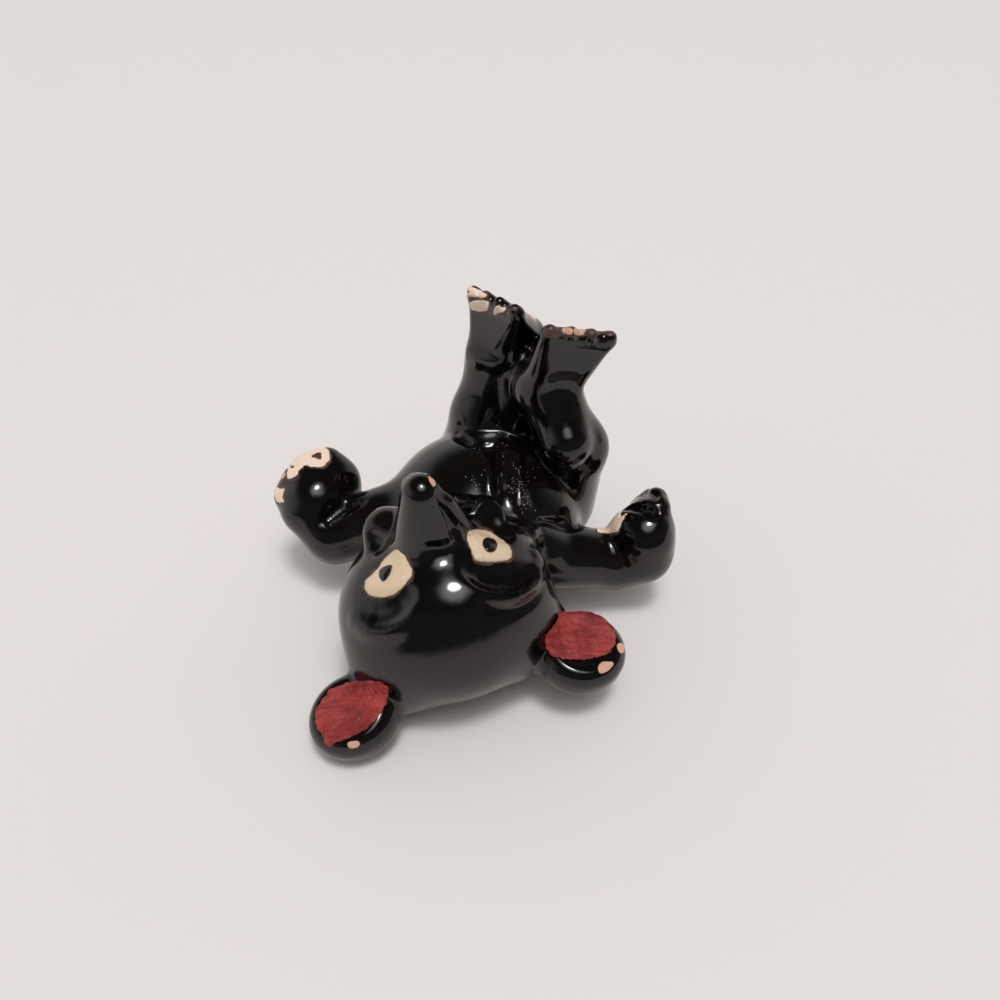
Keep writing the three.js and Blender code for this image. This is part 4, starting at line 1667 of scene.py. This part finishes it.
def makeDust():
    verts, quads = skinNet["verts"], skinNet["quads"]
    pixels, _ = toPixels(verts)
    left, top, zoom = windows["legs"]
    seen = (pixels - (left, top)) * zoom
    thickness = np.zeros(len(verts))
    for x, y, reach, amount in dustSpots:
        thickness += amount * np.exp(-((seen - (x, y)) ** 2).sum(1) / (2 * reach * reach))
    facing = unitSlope(joined, verts) @ unit(eye - verts.mean(0)) > dustLimits["facing"]
    low = (verts[:, 1] > dustLimits["neck"]) & facing
    thickness = np.where(low & (thickness > dustLimits["least"]), thickness, 0)
    faces = quads[(thickness[quads] > 0).all(1)]
    used, local = np.unique(faces, return_inverse=True)
    host = makeMesh("dustHost", verts[used], local.reshape(faces.shape).tolist())
    addMark(host, "dust", thickness[used])
    material = dustSpeck()
    tree = dustTree(material)
    modifier = host.modifiers.new("dust", "NODES")
    modifier.node_group = tree
    for item in tree.interface.items_tree:
        if item.in_out == "INPUT" and item.name in dustSizes:
            modifier[item.identifier] = dustSizes[item.name]
    bpy.context.view_layer.update()
    shown = host.evaluated_get(bpy.context.evaluated_depsgraph_get())
    mesh = bpy.data.meshes.new_from_object(shown)
    mesh.name = "belly_dust"
    dust = bpy.data.objects.new("belly_dust", mesh)
    bpy.context.scene.collection.objects.link(dust)
    host.modifiers.clear()
    bpy.data.objects.remove(host)
    print("dust has", len(mesh.polygons), "faces")
    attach(dust, "root")


makeDust()

# The thread of glaze from the right brow to the ear
threadSizes = {
    "ends": ((440, 1000), (560, 1250)),  # in the arm window
    "radii": (0.55, 0.3, 0.25, 0.3, 0.6),
    "rings": 17,
    "sides": 12,
    "sink": 0.5,
    "rise": 0.5,
}


def makeThread():
    ends, _ = seenOn(joined, "arm", threadSizes["ends"])
    along = unit(ends[1] - ends[0])
    ends = np.array([ends[0] - along * threadSizes["sink"], ends[1] + along * threadSizes["sink"]])
    count, n = threadSizes["rings"], threadSizes["sides"]
    share = np.linspace(0, 1, count)
    path = ends[0] + share[:, None] * (ends[1] - ends[0])
    path = path + unit(eye - path.mean(0)) * (threadSizes["rise"] * np.sin(share * math.pi))[:, None]
    radii = alongPath(threadSizes["radii"], share)
    side = unit(np.cross(along, unit(eye - path.mean(0))))
    up = np.cross(side, along)
    rings = []
    for point, radius in zip(path, radii):
        for k in range(n):
            angle = 2 * math.pi * k / n
            rings.append(point + radius * (side * math.cos(angle) + up * math.sin(angle)))
    faces = []
    for i in range(count - 1):
        for k in range(n):
            a, b = i * n + k, i * n + (k + 1) % n
            faces.append((a, b, b + n, a + n))
    faces.append(tuple(reversed(range(n))))
    faces.append(tuple((count - 1) * n + k for k in range(n)))
    thread = makeMesh("brow_thread", np.array(rings), faces)
    for name, value in marks.items():
        addMark(thread, name, np.full(len(rings), value))
    print("thread is", round(float(np.linalg.norm(ends[1] - ends[0])), 2), "mm long")
    thread.data.materials.append(glaze)
    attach(thread, "root")


glaze = blackGlaze()
makeThread()
for name, piece in body.items():
    piece.data.materials.append(glaze)
    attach(piece, "root")
    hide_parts(name)

finishes = {
    "eye": creamPaint("eyeCream"),
    "cream_paint": creamPaint("padCream"),
    "red_paint": redPaint(),
    "pupil_black": pupilPaint(),
}
for name, (piece, slot, node) in painted.items():
    piece.data.materials.append(finishes["eye" if "_eye_" in name else slot])
    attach(piece, "root")
    if node:
        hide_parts(node)


# Floor, world and lamps
stageSizes = {
    "floor": 3.0,
    "floorColour": (0.78, 0.74, 0.715, 1),
    "paintedRoomShade": (0.05, 0.045, 0.045, 1),  # painted shade: the colour the floor takes in front of the figure for every ray but the camera's, so the glaze reflects a dark room there
    "paintedShadeEdge": (-0.30, -0.13),
    "sunk": 0.00005,  # how far it lies under the figure
    "roughness": 0.6,
}
skySizes = {
    "dark": 0.045,
    "horizon": 0.62,
    "height": (0.68, 0.30),  # where the pale wall ends, as a sine
    "wallAzimuth": 120.0,
    "front": (-0.45, 0.25),  # the wall is dark behind the camera
    "wallShare": (0.08, 0.92),  # there, and what is added in front
    "tint": (1.0, 0.965, 0.945, 1),
    "glow": 3.0,
    "glowReach": 30.0,
    "glowAim": (-74.0, 68.0),
}


def makeFloor():
    half = stageSizes["floor"]
    mesh = bpy.data.meshes.new("floor")
    corners = [(-half, -half, 0), (half, -half, 0), (half, half, 0), (-half, half, 0)]
    mesh.from_pydata(corners, [], [(0, 1, 2, 3)])
    floor = bpy.data.objects.new("floor", mesh)
    floor.location.z = -stageSizes["sunk"]
    bpy.context.scene.collection.objects.link(floor)
    finish = Finish("paleTable")
    # painted reflection and shade: the camera sees the floor pale, but reflections and bounce light see it
    # dark in front of the figure
    across = finish.node("ShaderNodeSeparateXYZ", output=1, Vector=finish.place())
    pale = finish.larger(finish.node("ShaderNodeLightPath"), finish.band(across, *stageSizes["paintedShadeEdge"]))
    finish.set("Base Color", finish.mix(pale, stageSizes["paintedRoomShade"], stageSizes["floorColour"]))
    finish.set("Roughness", stageSizes["roughness"])
    mesh.materials.append(finish.material)


def makeWorld():
    world = bpy.data.worlds.new("studio")
    bpy.context.scene.world = world
    world.use_nodes = True
    tree = world.node_tree
    sky = Nodes(tree)
    direction = sky.node("ShaderNodeTexCoord")
    product = {"operation": "DOT_PRODUCT"}
    wallAim = tuple(aim(skySizes["wallAzimuth"], 0))
    glowAim = tuple(aim(*skySizes["glowAim"]))
    toWall = sky.node("ShaderNodeVectorMath", product, 1, i0=direction, i1=wallAim)
    height = sky.node("ShaderNodeSeparateXYZ", output=2, Vector=direction)
    least, more = skySizes["wallShare"]
    wall = sky.band(height, *skySizes["height"]) * (least + more * sky.band(toWall, *skySizes["front"]))
    toLamp = sky.node("ShaderNodeVectorMath", product, 1, i0=direction, i1=glowAim)
    glow = sky.band(toLamp, math.cos(math.radians(skySizes["glowReach"])), 1.0) ** 2
    strength = skySizes["dark"] + skySizes["horizon"] * wall + skySizes["glow"] * glow
    light = tree.nodes.new("ShaderNodeBackground")
    out = tree.nodes.new("ShaderNodeOutputWorld")
    light.inputs[0].default_value = skySizes["tint"]
    tree.links.new(strength.link, light.inputs[1])
    tree.links.new(light.outputs[0], out.inputs[0])


lamps = {
    "key": {"azimuth": -68.0, "elevation": 74.0, "spread": 14.0, "strength": 1.15, "seen": True},
    "room": {"azimuth": 90.0, "elevation": 84.0, "spread": 160.0, "strength": 0.86, "seen": False},
}


def makeLamps():
    for name, values in lamps.items():
        data = bpy.data.lights.new(name, "SUN")
        data.angle = math.radians(values["spread"])
        data.energy = values["strength"]
        lamp = bpy.data.objects.new(name, data)
        place = Vector(aim(values["azimuth"], values["elevation"]))
        lamp.location = place
        lamp.rotation_euler = place.to_track_quat("Z", "Y").to_euler()
        lamp.visible_glossy = values["seen"]
        bpy.context.scene.collection.objects.link(lamp)


makeFloor()
makeWorld()
makeLamps()
bpy.context.scene.view_settings.view_transform = "Standard"
